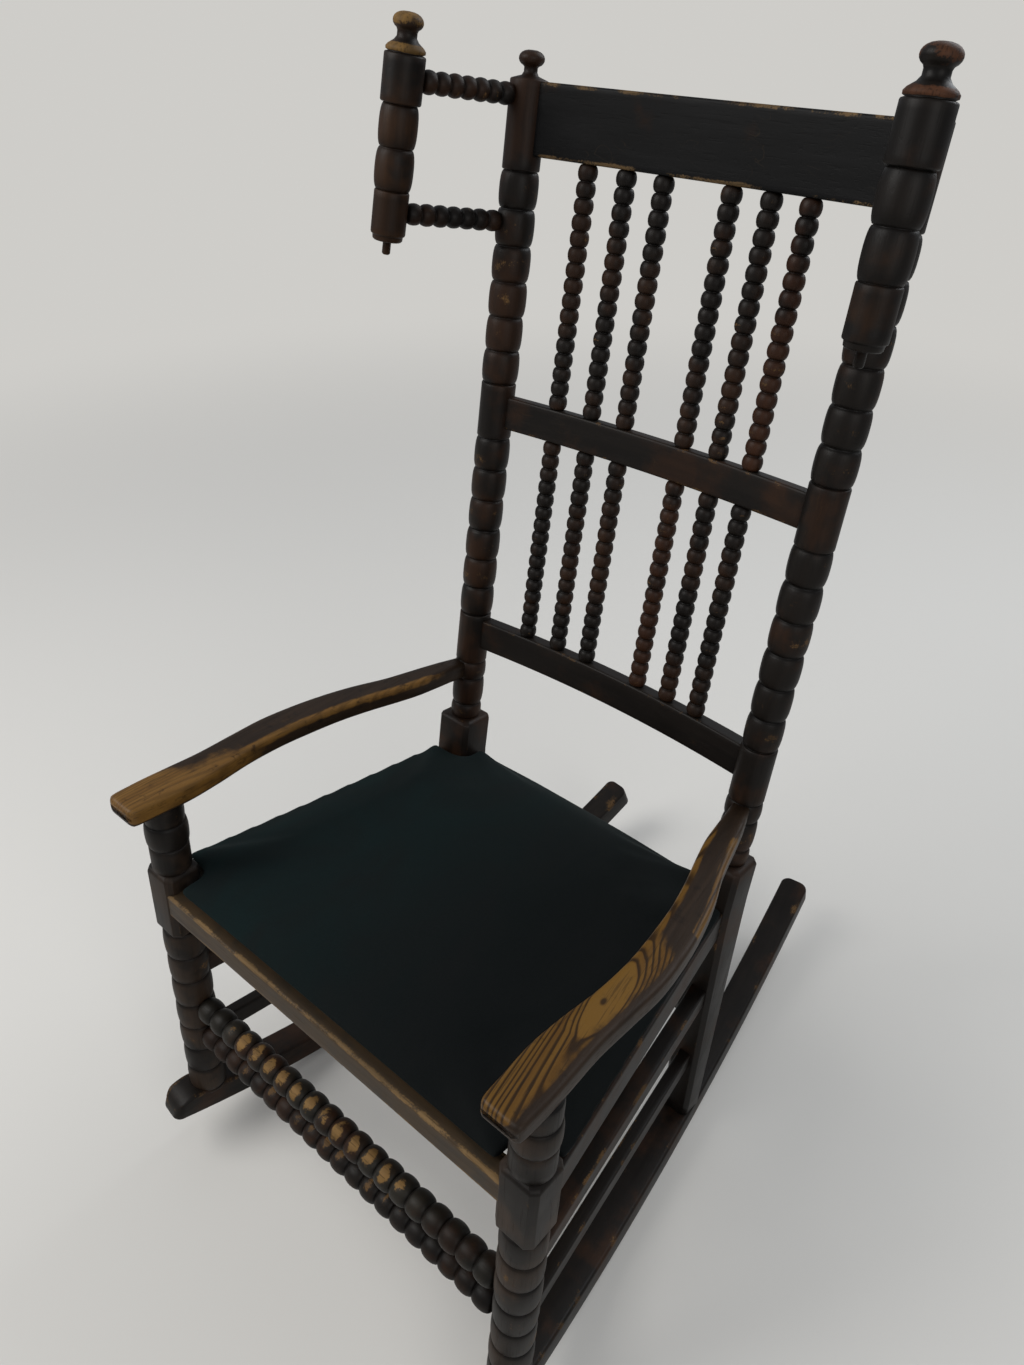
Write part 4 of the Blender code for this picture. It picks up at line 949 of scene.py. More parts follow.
@dataclass
class Rockers:
    """Two bars bent to a long arc, toed out towards the front."""

    length: float = 0.787
    width: float = 0.036
    height: float = 0.032
    radius: float = 1.1
    low_y: float = -0.008
    flat: float = 0.110
    corner: float = 0.009
    top_edge: float = 0.0042
    low_edge: float = 0.0025
    toe: float = math.radians(6.67)
    middle_x: float = 0.19857
    nose_length: float = 0.032
    nose_drop: float = 0.023
    nose_from: float = -0.3
    tail: float = 0.05
    left_tail_wear: float = 1.25
    steps: int = 56
    corner_steps: int = 6
    nose_steps: int = 8

    def front(self) -> float:
        """Angle of the front tip on the arc."""
        return -math.asin((self.length / 2 + self.low_y) / self.radius)

    def fall(self, turn: float) -> float:
        """How far the top has fallen at an angle on the arc, in the nose at the front tip."""
        share = max(0.0, 1 - (turn - self.front()) * self.radius / self.nose_length)
        return self.nose_drop * (1 - math.sqrt(1 - min(1.0, share) ** 2))

    def turns(self) -> list[Range]:
        """Angle on the arc and share of the full width, from the front tip to the rear one."""
        front = self.front()
        rear = math.asin((self.length / 2 - self.low_y) / self.radius)
        corner = self.corner / self.radius
        rounds = []
        for n in range(self.corner_steps):
            turn = math.pi / 2 * (1 - n / self.corner_steps)
            share = 1 - 2 * self.corner * (1 - math.cos(turn)) / self.width
            rounds.append((corner * (1 - math.sin(turn)), share))
        nose = self.nose_length / self.radius
        span = rear - front - nose - corner
        places = [(front + past, share) for past, share in rounds]
        step = (nose - corner) / self.nose_steps
        places += [(front + corner + step * n, 1.0) for n in range(self.nose_steps)]
        places += [(front + nose + span * n / self.steps, 1.0) for n in range(self.steps + 1)]
        return places + [(rear - past, share) for past, share in reversed(rounds)]

    def section(self, turn: float, share: float) -> Section:
        """The rocker's section at a place on its arc.

        Args:
            turn: angle on the arc from its lowest point.
            share: share of the full width, less than 1 in the rounded ends.

        Returns:
            The section's points.
        """
        half, up = self.width / 2 * share, self.height / 2
        flat_turn = math.asin(self.flat / 2 / self.radius)
        hub = Matrix.Translation((0, self.low_y, self.radius * math.cos(flat_turn)))
        place = hub @ Matrix.Rotation(turn, 4, "X")
        drop = up - self.radius
        crown = up - self.fall(turn)
        soft = min(1.0, share * 1.4, (crown + up) / self.height * 1.2)
        low, top = self.low_edge * soft, self.top_edge * soft
        corners = [(-half, -up, low, 0.7), (half, -up, low, 0.7)]
        corners += [(half, crown, top, 1.0), (-half, crown, top, 1.0)]
        points = []
        for x, z, exposure in rounded_section(corners):
            point = place @ Vector((x, 0, z + drop))
            point.z = max(point.z, 0.0)
            points.append((point, exposure))
        return points

    def wear_at(self, side: Side) -> Callable[[Vector], float]:
        """How much a rocker is rubbed along its length.

        Args:
            side: which rocker.

        Returns:
            A weight for each point.
        """
        rear = self.length / 2 - self.tail
        tip = self.left_tail_wear if side is Side.LEFT else 1.0
        return lambda point: tip if point.y > rear else 0.9 + 0.1 * (point.y < self.nose_from)

    def build(self) -> None:
        """Makes both rockers. The left one's rear tip is rubbed down to bare wood."""
        for side in Side:
            place = Matrix.Translation((side.value * self.middle_x, 0, 0))
            place = place @ Matrix.Rotation(side.value * self.toe, 4, "Z")
            shape = Shape().loft([self.section(turn, share) for turn, share in self.turns()])
            bmesh.ops.transform(shape.bm, matrix=place, verts=shape.bm.verts)
            shape.rub(self.wear_at(side))
            finish = StainedWood(
                f"rocker_stain_{side.word}", axis_in(place, "Y"), wear=0.22, patches=30.0, roughness=0.44,
                shift=(0.3 * side.value, 0.0, 0.0),
            )
            shape.done(f"rocker_{side.word}", finish.material())


@dataclass
class FrontLegs:
    """Two bead-turned legs with a square block at the seat."""

    radius: float = 0.0216
    groove: float = 0.0185
    bead_count: int = 7
    foot_height: float = 0.004
    foot_radius: float = 0.0200
    block_width: float = 0.041
    block_chamfer: float = 0.006
    block_height: float = 0.085
    block_rise: float = 0.021
    shoulder: float = 0.0065
    neck_height: float = 0.031
    neck_radius: float = 0.0198
    small_bead_height: float = 0.025
    top: float = 0.4797
    sunk: float = 0.0008
    lower_seed: int = 11
    upper_seed: int = 17
    segments: int = 40

    def build(self) -> None:
        """Makes both legs, each a turned lower part, a block and a turned upper part."""
        block_top = FRAMES.seat_level + self.block_rise
        block_low = block_top - self.block_height
        neck_top = block_top + self.neck_height
        bead_low = self.top - self.small_bead_height
        foot = FRAMES.front_foot
        for side in Side:
            x = side.value * FRAMES.front_leg_x
            place = FRAMES.chair @ Matrix.Translation((x, FRAMES.front_leg_y, 0))
            lower = Profile(self.lower_seed + side.value)
            lower.to(foot - self.sunk, self.foot_radius - 0.001, 0.3).to(foot + 0.001, self.foot_radius, 0.6)
            lower.to(foot + self.foot_height - 0.001, self.foot_radius, 0.6)
            beads = (foot + self.foot_height, block_low + self.sunk)
            lower.beads(*beads, self.bead_count, self.radius, self.groove, fullness=2.5)
            upper = Profile(self.upper_seed + side.value)
            upper.drum(block_top - self.sunk, neck_top, self.neck_radius, lip=0.0022)
            upper.beads(neck_top, bead_low, 1, self.radius, self.groove, fullness=2.3)
            upper.beads(bead_low, self.top, 1, self.neck_radius, self.groove, fullness=2.2)
            shape = Shape().turn(place, lower, self.segments).turn(place, upper, self.segments)
            self.add_block(shape, place, (block_low + block_top) / 2)
            finish = StainedWood(
                f"front_leg_stain_{side.word}", axis_in(FRAMES.chair, "Z"), undertone=(0.022, 0.0135, 0.0085),
                wear=0.12, shift=(0.2 * side.value, 0.0, 0.0),
            )
            shape.done(f"front_leg_{side.word}", finish.material())

    def add_block(self, shape: Shape, place: Matrix, level: float) -> None:
        """Adds the square block, with its shoulders rounded on the lathe.

        Args:
            shape: the leg.
            place: the leg's axis.
            level: height of the block's middle.
        """
        half, up = self.block_width / 2, self.block_height / 2
        sections = []
        rise = 4
        ends = [(k / rise, math.sqrt(1 - (1 - k / rise) ** 2)) for k in range(rise + 1)]
        levels = [(-up + self.shoulder * at, size) for at, size in ends]
        levels += [(up - self.shoulder * at, size) for at, size in reversed(ends)]
        for z, size in levels:
            width = half - self.shoulder * (1 - size)
            ring = rounded_section(chamfered(width, self.block_chamfer), steps=2)
            sections.append([
                (place @ Vector((x, y, level + z)), exposure * (0.6 + 0.4 * size)) for x, y, exposure in ring
            ])
        shape.loft(sections)


@dataclass
class BackPosts:
    """Two posts: a square splayed leg and block below, beads above, and a button on top."""

    leg_width: float = 0.046
    foot_width: float = 0.034
    chamfer: float = 0.005
    block_rise: float = 0.050
    radius: float = 0.0186
    groove: float = 0.0148
    drum_radius: float = 0.0178
    small_bead_top: float = 0.068
    arm_bead_low: float = 0.1030
    lower_drum: Range = (0.1260, 0.1870)
    middle_drum: Range = (0.3915, 0.4475)
    crest_drum: Range = (0.6430, 0.7170)
    bead_count: int = 6
    top: float = 0.7395
    neck: float = 0.0062
    button: float = 0.0118
    sunk: float = 0.0008
    seed: int = 23
    segments: int = 40

    def outline(self, seed: int) -> Profile:
        """The turned part of a post."""
        profile = Profile(seed).beads(
            self.block_rise - self.sunk, self.small_bead_top, 1, self.drum_radius, self.groove, fullness=2.2
        )
        profile.beads(self.small_bead_top, self.arm_bead_low, 1, self.radius, self.groove, fullness=2.6)
        profile.beads(self.arm_bead_low, self.lower_drum[0], 1, self.radius, self.groove, fullness=2.4)
        profile.drum(*self.lower_drum, self.drum_radius)
        row = (self.bead_count, self.radius, self.groove)
        profile.beads(self.lower_drum[1], self.middle_drum[0], *row, fullness=2.6)
        profile.drum(*self.middle_drum, self.drum_radius)
        profile.beads(self.middle_drum[1], self.crest_drum[0], *row, fullness=2.6)
        profile.drum(*self.crest_drum, self.drum_radius)
        return profile.knob(self.crest_drum[1], self.top, self.neck, self.button)

    def add_leg(self, shape: Shape, side: Side) -> None:
        """Adds the square leg and the block over it.

        Args:
            shape: the post.
            side: which post.
        """
        foot_x, seat_x = side.value * FRAMES.back_foot_x, side.value * FRAMES.back_post_x
        foot = FRAMES.chair @ Matrix.Translation((foot_x, FRAMES.back_leg_y, FRAMES.back_foot))
        seat = FRAMES.chair @ Matrix.Translation((seat_x, FRAMES.back_leg_y, FRAMES.seat_level))
        raked = FRAMES.back @ Matrix.Translation((seat_x, 0, 0))
        rim = self.leg_width - self.chamfer
        rows = [(foot, self.foot_width, -self.sunk), (foot, self.foot_width, 0.02)]
        rows += [(seat, self.leg_width, -0.03), (seat, self.leg_width, 0.0)]
        rows += [(raked, self.leg_width, 0.012), (raked, self.leg_width, self.block_rise - self.chamfer)]
        rows += [(raked, (self.leg_width + rim) / 2, self.block_rise - self.chamfer * 0.35)]
        rows += [(raked, rim - self.chamfer, self.block_rise)]
        sections = []
        for place, width, up in rows:
            ring = rounded_section(chamfered(width / 2, self.chamfer), steps=2)
            sections.append([(place @ Vector((x, y, up)), exposure) for x, y, exposure in ring])
        shape.loft(sections)

    def build(self) -> None:
        """Makes both posts. The left one is browner in its middle part."""
        for side in Side:
            place = FRAMES.back @ Matrix.Translation((side.value * FRAMES.back_post_x, 0, 0))
            shape = Shape().turn(place, self.outline(self.seed + side.value), self.segments)
            self.add_leg(shape, side)
            finish = StainedWood(
                f"back_post_stain_{side.word}", axis_in(FRAMES.back, "Z"), wear=0.12,
                undertone_share=0.48 if side is Side.LEFT else 0.22, shift=(0.1, 0.3 * side.value, 0.2),
            )
            shape.done(f"back_post_{side.word}", finish.material())


@dataclass
class BackPanel:
    """Three rails between the posts, and two rows of bobbin spindles between the rails."""

    reach: float = 0.1782
    # Each rail's middle up the back, thickness and height
    crest: Triple = (0.686, 0.016, 0.060)
    middle: Triple = (0.4195, 0.014, 0.033)
    lower: Triple = (0.1635, 0.017, 0.035)
    edge: float = 0.0024
    bow: float = 0.0145
    steps: int = 24
    spindle_places: tuple[float, ...] = (-0.1137, -0.0734, -0.0349, 0.0322, 0.0702, 0.1065)
    spindle_radius: float = 0.0093
    spindle_groove: float = 0.0056
    spindle_beads: int = 16
    fullness: float = 2.0
    bead_steps: int = 8
    tenon: Range = (0.0042, 0.004)
    seed: int = 40
    segments: int = 24

    def build(self) -> None:
        """Makes the rails and the spindles."""
        across = axis_in(FRAMES.back, "X")
        crest = StainedWood(
            "crest_rail_stain", across, stain=(0.0052, 0.0052, 0.0054), undertone_share=0.10, wear=0.34,
            patches=26.0, worn=(0.150, 0.095, 0.045), roughness=0.42, specular=0.07,
        )
        middle = StainedWood("middle_rail_stain", across, wear=0.16, shift=(0.0, 0.4, 0.1))
        lower = StainedWood(
            "lower_rail_stain", across, undertone_share=0.24, wear=0.12, shift=(0.0, 0.7, 0.3)
        )
        self.rail(*self.crest).done("crest_rail", crest.material())
        self.rail(*self.middle).done("middle_back_rail", middle.material())
        self.rail(*self.lower).done("lower_back_rail", lower.material())
        self.add_spindles()

    def bow_at(self, x: float) -> float:
        """How far the rails bow to the rear, at a distance from the middle."""
        return self.bow * (1 - (x / FRAMES.back_post_x) ** 2)

    def rail(self, up: float, thick: float, tall: float) -> Shape:
        """A rail that bows to the rear between the posts.

        Args:
            up: its middle up the back.
            thick: its thickness.
            tall: its height.

        Returns:
            The rail.
        """
        corners = [(y * thick / 2, z * tall / 2, self.edge, 1.0) for y, z in SQUARE]
        sections = []
        for n in range(self.steps + 1):
            x = self.reach * (2 * n / self.steps - 1)
            sections.append([
                (FRAMES.back @ Vector((x, self.bow_at(x) + y, up + z)), exposure)
                for y, z, exposure in rounded_section(corners, steps=3, rim=0.003)
            ])
        return Shape().loft(sections)

    def add_spindles(self) -> None:
        """Makes both rows of spindles. Some are browner than the rest."""
        upright = axis_in(FRAMES.back, "Z")
        dark = StainedWood("spindle_stain", upright, undertone_share=0.34, wear=0.10).material()
        brown = StainedWood(
            "reddish_spindle_stain", upright, undertone=(0.027, 0.0105, 0.0048), undertone_share=0.58,
            wear=0.16, shift=(0.3, 0.2, 0.5),
        ).material()
        rows = {
            "upper": (self.middle[0] + self.middle[2] / 2, self.crest[0] - self.crest[2] / 2, (6,)),
            "lower": (self.lower[0] + self.lower[2] / 2, self.middle[0] - self.middle[2] / 2, (4,)),
        }
        beads = (self.spindle_beads, self.spindle_radius, self.spindle_groove, self.fullness, self.bead_steps)
        for row, (low, high, reddish) in rows.items():
            for n, x in enumerate(self.spindle_places, 1):
                place = FRAMES.back @ Matrix.Translation((x, self.bow_at(x), 0))
                profile = Profile(self.seed + n + 10 * (row == "lower"))
                shape = Shape().turn(place, profile.rod(low, high, self.tenon, *beads), self.segments)
                shape.done(f"{row}_spindle_{n}", brown if n in reddish else dark)


@dataclass
class HeadWings:
    """A short turned post at each side of the head, carried by two bobbin rods from the back post."""

    out: float = 0.226
    forward: float = 0.118
    peg_low: float = 0.563
    ring_low: float = 0.575
    lower_drum: Range = (0.580, 0.617)
    upper_drum: Range = (0.685, 0.722)
    collar: float = 0.728
    top: float = 0.752
    radius: float = 0.0178
    lower_radius: float = 0.0158
    bead_radius: float = 0.0172
    bead_count: int = 2
    groove: float = 0.0138
    neck: float = 0.0085
    button: float = 0.0130
    peg: float = 0.0038
    left_lean: float = math.radians(4.5)
    rod_radius: float = 0.0096
    rod_groove: float = 0.0060
    rod_beads: int = 7
    post_radius: float = 0.0178
    rod_fullness: float = 2.0
    rod_steps: int = 8
    rod_tenon: Range = (0.0048, 0.006)
    wear: Range = (1.5, 0.5)
    post_seed: int = 71
    post_segments: int = 40
    rod_seed: int = 81
    rod_segments: int = 24

    def outline(self, seed: int) -> Profile:
        """The outline of a wing post, from its peg to its button."""
        profile = Profile(seed).to(self.peg_low, self.peg * 0.7, 0.9).to(self.peg_low + 0.0012, self.peg, 0.9)
        profile.to(self.ring_low, self.peg, 0.3).to(self.ring_low, self.lower_radius * 0.78, 0.5)
        profile.to(self.ring_low + 0.0012, self.lower_radius * 0.86, 0.95)
        profile.to(self.lower_drum[0] - 0.0008, self.lower_radius * 0.88, 0.6)
        profile.drum(*self.lower_drum, self.lower_radius)
        beads = (self.lower_drum[1], self.upper_drum[0], self.bead_count)
        profile.beads(*beads, self.bead_radius, self.groove, fullness=2.4, steps=12)
        profile.drum(*self.upper_drum, self.radius)
        low = self.upper_drum[1]
        profile.to(low + 0.0003, self.groove + 0.001, 0.1).to(low + 0.0014, self.radius * 0.95, 0.9)
        profile.to(low + 0.0034, self.radius * 0.96, 1.0).to(self.collar - 0.0004, self.radius * 0.86, 1.0)
        return profile.knob(self.collar, self.top, self.neck, self.button)

    def build(self) -> None:
        """Makes both wings. The left one leans in a little, and its top is rubbed golden."""
        for side in Side:
            lean = self.left_lean if side is Side.LEFT else 0.0
            upright = Vector((-side.value * math.sin(lean), 0, math.cos(lean)))
            pivot = sum(self.upper_drum) / 2
            base = Vector((side.value * self.out, -self.forward, pivot)) - upright * pivot
            place = FRAMES.back @ along(base, base + upright, "Z")
            shape = Shape().turn(place, self.outline(self.post_seed + side.value), self.post_segments)
            inverse = place.inverted()
            golden = side is Side.LEFT
            head, (top, rest) = self.upper_drum[1], self.wear
            shape.rub(lambda point, inverse=inverse: top if (inverse @ point).z > head else rest)
            finish = StainedWood(
                f"wing_stain_{side.word}", axis_in(place, "Z"), undertone=(0.024, 0.0108, 0.0044),
                undertone_share=0.55 if golden else 0.30, wear=0.46 if golden else 0.34, patches=60.0,
                worn=(0.170, 0.095, 0.028) if golden else (0.070, 0.028, 0.013),
                shift=(0.2, 0.4 * side.value, 0.0),
            )
            shape.done(f"wing_post_{side.word}", finish.material())
            self.add_rods(side, base, upright)

    def add_rods(self, side: Side, base: Vector, upright: Vector) -> None:
        """Makes the two rods of a wing.

        Args:
            side: which wing.
            base: the wing's axis where its height is 0, in the back's frame.
            upright: the wing's axis.
        """
        rows = {"upper": (self.upper_drum, self.radius), "lower": (self.lower_drum, self.lower_radius)}
        for n, (row, (drum, radius)) in enumerate(rows.items()):
            up = sum(drum) / 2
            post = Vector((side.value * FRAMES.back_post_x, 0, up))
            wing = base + upright * up
            run = (wing - post).normalized()
            start, end = post + run * self.post_radius, wing - run * radius
            length = (end - start).length
            profile = Profile(self.rod_seed + n + 2 * side.value)
            beads = (self.rod_beads, self.rod_radius, self.rod_groove, self.rod_fullness, self.rod_steps)
            profile.rod(0.0, length, self.rod_tenon, *beads)
            place = FRAMES.back @ along(start, end, "Z")
            shape = Shape().turn(place, profile, self.rod_segments)
            name = f"wing_rod_stain_{row}_{side.word}"
            finish = StainedWood(name, axis_in(place, "Z"), undertone_share=0.34, wear=0.12)
            shape.done(f"wing_rod_{row}_{side.word}", finish.material())


@dataclass
class Arms:
    """Two serpentine arms on the front legs, which narrow to a tenon in the posts."""

    # Share of the way from front leg to post, distance outside their line, and width
    stations: tuple[Triple, ...] = (
        (-0.120, -0.0086, 0.0375), (-0.032, -0.0045, 0.0405), (0.048, -0.0015, 0.0411),
        (0.141, 0.0040, 0.0374), (0.248, 0.0128, 0.0347), (0.355, 0.0195, 0.0354), (0.461, 0.0215, 0.0351),
        (0.557, 0.0208, 0.0335), (0.648, 0.0171, 0.0320), (0.741, 0.0107, 0.0292), (0.808, 0.0076, 0.0285),
        (0.875, 0.0061, 0.0258), (0.931, 0.0048, 0.0225),
    )
    middle: float = 0.490
    thick: float = 0.020
    edge: float = 0.0042
    rim: float = 0.0040
    post_depth: float = 0.0417
    tenon_width: float = 0.016
    front_round: float = 0.006
    steps: int = 9
    round_steps: int = 5
    right_bare_to: float = -0.167
    left_bare_to: float = -0.285
    left_slant: float = 0.05
    fade: float = 0.04
    worn_to: float = 0.012
    worn_from: float = -0.15
    top_from: float = 0.45
    below: float = -0.6
    outer_from: float = 0.4
    edge_from: float = 0.68

    def course(self) -> list[Vector]:
        """Depth, distance from the middle and width along an arm, from its front end to the post."""
        points = []
        for share, out, width in self.stations:
            depth = FRAMES.front_leg_y + share * (FRAMES.back_leg_y - FRAMES.front_leg_y)
            points.append(Vector((depth, FRAMES.leg_line(depth, FRAMES.seat_level) + out, width)))
        ends = [points[0], *points, points[-1]]
        course = []
        for a, b, c, d in zip(ends, ends[1:], ends[2:], ends[3:]):
            for k in range(self.steps):
                t = k / self.steps
                bend = (2 * a - 5 * b + 4 * c - d) * t**2 + (3 * b - a - 3 * c + d) * t**3
                course.append(b + 0.5 * ((c - a) * t + bend))
        return [*course, points[-1], Vector((self.post_depth, FRAMES.back_post_x, self.tenon_width))]

    def section(self, side: Side, depth: float, middle: float, width: float, inset: float) -> Section:
        """An arm's section.

        Args:
            side: which arm.
            depth: where it is along the chair.
            middle: distance of its middle from the middle of the chair.
            width: its full width.
            inset: how much it is drawn in, in the rounded front end.

        Returns:
            The section's points.
        """
        half, up = width / 2 - inset, self.thick / 2 - inset
        edge = min(self.edge, up * 0.8)
        corners = [(x * half, z * up, edge, 1.0) for x, z in SQUARE]
        return [
            (
                FRAMES.chair @ Vector((side.value * (middle + x), depth, self.middle + z)),
                self.bare(side, depth, x / half, z / up),
            )
            for x, z, _ in rounded_section(corners, steps=3, rim=min(self.rim, half * 0.4))
        ]

    def bare(self, side: Side, depth: float, across: float, up: float) -> float:
        """How far the stain is rubbed off a point of an arm.

        Args:
            side: which arm.
            depth: where the point is along the chair.
            across: its place across the arm, from -1 inside to 1 outside.
            up: its place up the arm, from -1 below to 1 on top.

        Returns:
            The share of bare wood.
        """
        right = side is Side.RIGHT
        limit = self.right_bare_to if right else self.left_bare_to - self.left_slant * across
        front = clamped((limit + self.fade / 2 - depth) / self.fade)
        back_end = clamped((self.worn_to - depth) / self.fade)
        if up > self.top_from:
            worn_edge = across < -self.edge_from or (right and across > self.edge_from)
            if right and across > self.outer_from:
                front *= 0.15 if worn_edge else 0.62
                worn_edge = worn_edge and depth > self.worn_from
            return max(front, (0.88 if worn_edge else 0.24) * back_end)
        if up > self.below:
            return 0.12 if across > 0 else max(0.9 * front, 0.2)
        return 0.1

    def build(self) -> None:
        """Makes both arms, each with a rounded front end."""
        course = self.course()
        for side in Side:
            sections = []
            depth, middle, width = course[0]
            for k in range(self.round_steps):
                turn = math.pi / 2 * k / self.round_steps
                past, inset = self.front_round * (1 - math.cos(turn)), self.front_round * (1 - math.sin(turn))
                sections.append(self.section(side, depth + past, middle, width, inset))
            rounded = depth + self.front_round
            sections += [self.section(side, *point, 0.0) for point in course if point[0] > rounded]
            shape = Shape().loft(sections)
            shape.done(f"arm_{side.word}", self.finish(side).material(), Slot.GOLDEN_WOOD)

    def on_top(self, x: float, y: float) -> Point:
        """A point on top of an arm, in the world."""
        return tuple(FRAMES.chair @ Vector((x, y, self.middle + self.thick / 2)))

    def finish(self, side: Side) -> WornArmWood:
        """An arm's finish: the right one has an oval figure and a knot, the left one a bare tip.

        Args:
            side: which arm.

        Returns:
            The finish.
        """
        turn = FRAMES.chair.to_3x3()
        if side is Side.RIGHT:
            return WornArmWood(
                "golden_arm_right", oval=self.on_top(0.2327, -0.2545), knot=self.on_top(0.2312, -0.2593),
                grain=tuple(turn @ Vector((-0.158, 0.987, 0.0))), gold=(0.080, 0.037, 0.0065),
                pale=(0.122, 0.062, 0.0110),
            )
        return WornArmWood(
            "golden_arm_left", oval=self.on_top(-0.200, -0.480), knot=self.on_top(-0.238, -0.352),
            grain=tuple(turn @ Vector((-0.06, 1.0, 0.0))), gold=(0.112, 0.054, 0.012),
            pale=(0.158, 0.082, 0.020), line_share=0.30, uneven=1.1, bare_from=0.30, bare_to=0.95,
            smudged=0.30, shift=(0.4, 0.1, 0.2),
        )


@dataclass
class SeatFrame:
    """Four rails in the blocks of the legs and posts."""

    thick: float = 0.022
    front_height: float = 0.0285
    side_height: float = 0.038
    front_y: float = -0.3515
    front_reach: float = 0.2275
    back_y: float = 0.028
    back_reach: float = 0.170
    side_start: float = -0.3305
    side_end: float = 0.017
    edge: float = 0.0022

    def build(self) -> None:
        """Makes the four rails. The front one's top edge is rubbed bare by legs and cloth."""
        across = axis_in(FRAMES.chair, "X")
        front = StainedWood(
            "front_rail_stain", across, stain=(0.0230, 0.0180, 0.0125), undertone=(0.0360, 0.0230, 0.0120),
            undertone_share=0.5, wear=0.42, patches=24.0, worn=(0.17, 0.105, 0.045),
        )
        ends = ends_across(self.front_reach, self.front_y, FRAMES.seat_level - self.front_height / 2)
        shape, _ = bar_between(ends, self.thick, self.front_height, self.edge)
        shape.done("seat_rail_front", front.material())
        plain = StainedWood("seat_rail_stain", across, wear=0.12, shift=(0.0, 0.2, 0.6))
        level = FRAMES.seat_level - self.side_height / 2
        ends = ends_across(self.back_reach, self.back_y, level)
        shape, _ = bar_between(ends, self.thick, self.side_height, self.edge)
        shape.done("seat_rail_back", plain.material())
        for side in Side:
            ends = [
                Vector((side.value * FRAMES.rail_line(depth), depth, level))
                for depth in (self.side_start, self.side_end)
            ]
            shape, grain = bar_between(ends, self.thick, self.side_height, self.edge)
            shift = (0.0, 0.2 * side.value, 0.3)
            finish = StainedWood(f"side_rail_stain_{side.word}", grain, wear=0.16, shift=shift)
            shape.done(f"seat_rail_{side.word}", finish.material())


@dataclass
class Stretchers:
    """Two bobbin stretchers in front, two plain bars at each side and one at the back."""

    upper_level: float = 0.195
    lower_level: float = 0.151
    front_reach: float = 0.2164
    radius: float = 0.0145
    groove: float = 0.0095
    bead_count: int = 20
    fullness: float = 2.1
    tenon: Range = (0.0065, 0.008)
    # Each row's name, level, distance outside the legs' line, thickness and height
    side_rows: tuple[tuple[str, float, float, float, float], ...] = (
        ("upper", 0.241, 0.0025, 0.018, 0.026), ("lower", 0.131, 0.0, 0.014, 0.024),
    )
    side_start: float = -0.3324
    side_end: float = 0.023
    back_level: float = 0.195
    back_thick: float = 0.014
    back_height: float = 0.022
    back_reach: float = 0.1810
    edge: float = 0.0020
    rubbed_from: float = -0.175
    rubbed_to: float = 0.135
    rub_fades: Range = (0.03, 0.05)
    rub_way: Point = (0.0, -0.42, 0.9)
    rub_focus: float = 2.5
    rub_least: float = 0.30
    rub_most: float = 1.15
    seed: int = 91
    segments: int = 32

    def foot_rub(self, middle: Vector) -> Callable[[Vector], float]:
        """How feet rub a front stretcher: on top and in front, more in the middle than at the ends.

        Args:
            middle: the stretcher's middle, in the world.

        Returns:
            A weight for each point.
        """
        towards = (FRAMES.chair.to_3x3() @ Vector(self.rub_way)).normalized()
        left, right = self.rub_fades

        def weight(point: Vector) -> float:
            """The weight of a point."""
            out = Vector((0.0, point.y - middle.y, point.z - middle.z))
            if out.length <= MERGE:
                return self.rub_least
            facing = max(0.0, out.normalized().dot(towards)) ** self.rub_focus
            inside = clamped((point.x - self.rubbed_from) / left)
            inside *= clamped((self.rubbed_to - point.x) / right)
            return self.rub_least + self.rub_most * facing * inside

        return weight

    def build(self) -> None:
        """Makes the seven stretchers. Feet have rubbed the upper front one through to bare wood."""
        across = axis_in(FRAMES.chair, "X")
        finishes = {
            "upper": StainedWood(
                "rubbed_stretcher_stain", across, stain=(0.0135, 0.0115, 0.0085), worn=(0.19, 0.108, 0.036),
                wear=0.42, patches=70.0,
            ),
            "lower": StainedWood("stretcher_stain", across, wear=0.10, shift=(0.2, 0.3, 0.1)),
        }
        for n, (row, finish) in enumerate(finishes.items()):
            level = self.upper_level if row == "upper" else self.lower_level
            start, end = ends_across(self.front_reach, FRAMES.front_leg_y, level)
            beads = (self.bead_count, self.radius, self.groove, self.fullness)
            profile = Profile(self.seed + n).rod(0.0, 2 * self.front_reach, self.tenon, *beads)
            shape = Shape().turn(FRAMES.chair @ along(start, end, "Z"), profile, self.segments)
            shape.rub(self.foot_rub(FRAMES.chair @ ((start + end) / 2)))
            shape.done(f"front_stretcher_{row}", finish.material())
        self.add_bars()

    def add_bars(self) -> None:
        """Makes the plain bars at the sides and the back."""
        for row, level, out, thick, tall in self.side_rows:
            for side in Side:
                ends = [
                    Vector((side.value * (FRAMES.leg_line(depth, level) + out), depth, level))
                    for depth in (self.side_start, self.side_end)
                ]
                shape, grain = bar_between(ends, thick, tall, self.edge)
                finish = StainedWood(
                    f"side_stretcher_stain_{row}_{side.word}", grain, wear=0.18, patches=30.0,
                    shift=(0.1, 0.2 * side.value, level),
                )
                shape.done(f"side_stretcher_{row}_{side.word}", finish.material())
        ends = ends_across(self.back_reach, FRAMES.back_leg_y, self.back_level)
        shape, grain = bar_between(ends, self.back_thick, self.back_height, self.edge)
        finish = StainedWood("back_stretcher_stain", grain, wear=0.12, shift=(0.5, 0.0, 0.2))
        shape.done("back_stretcher", finish.material())


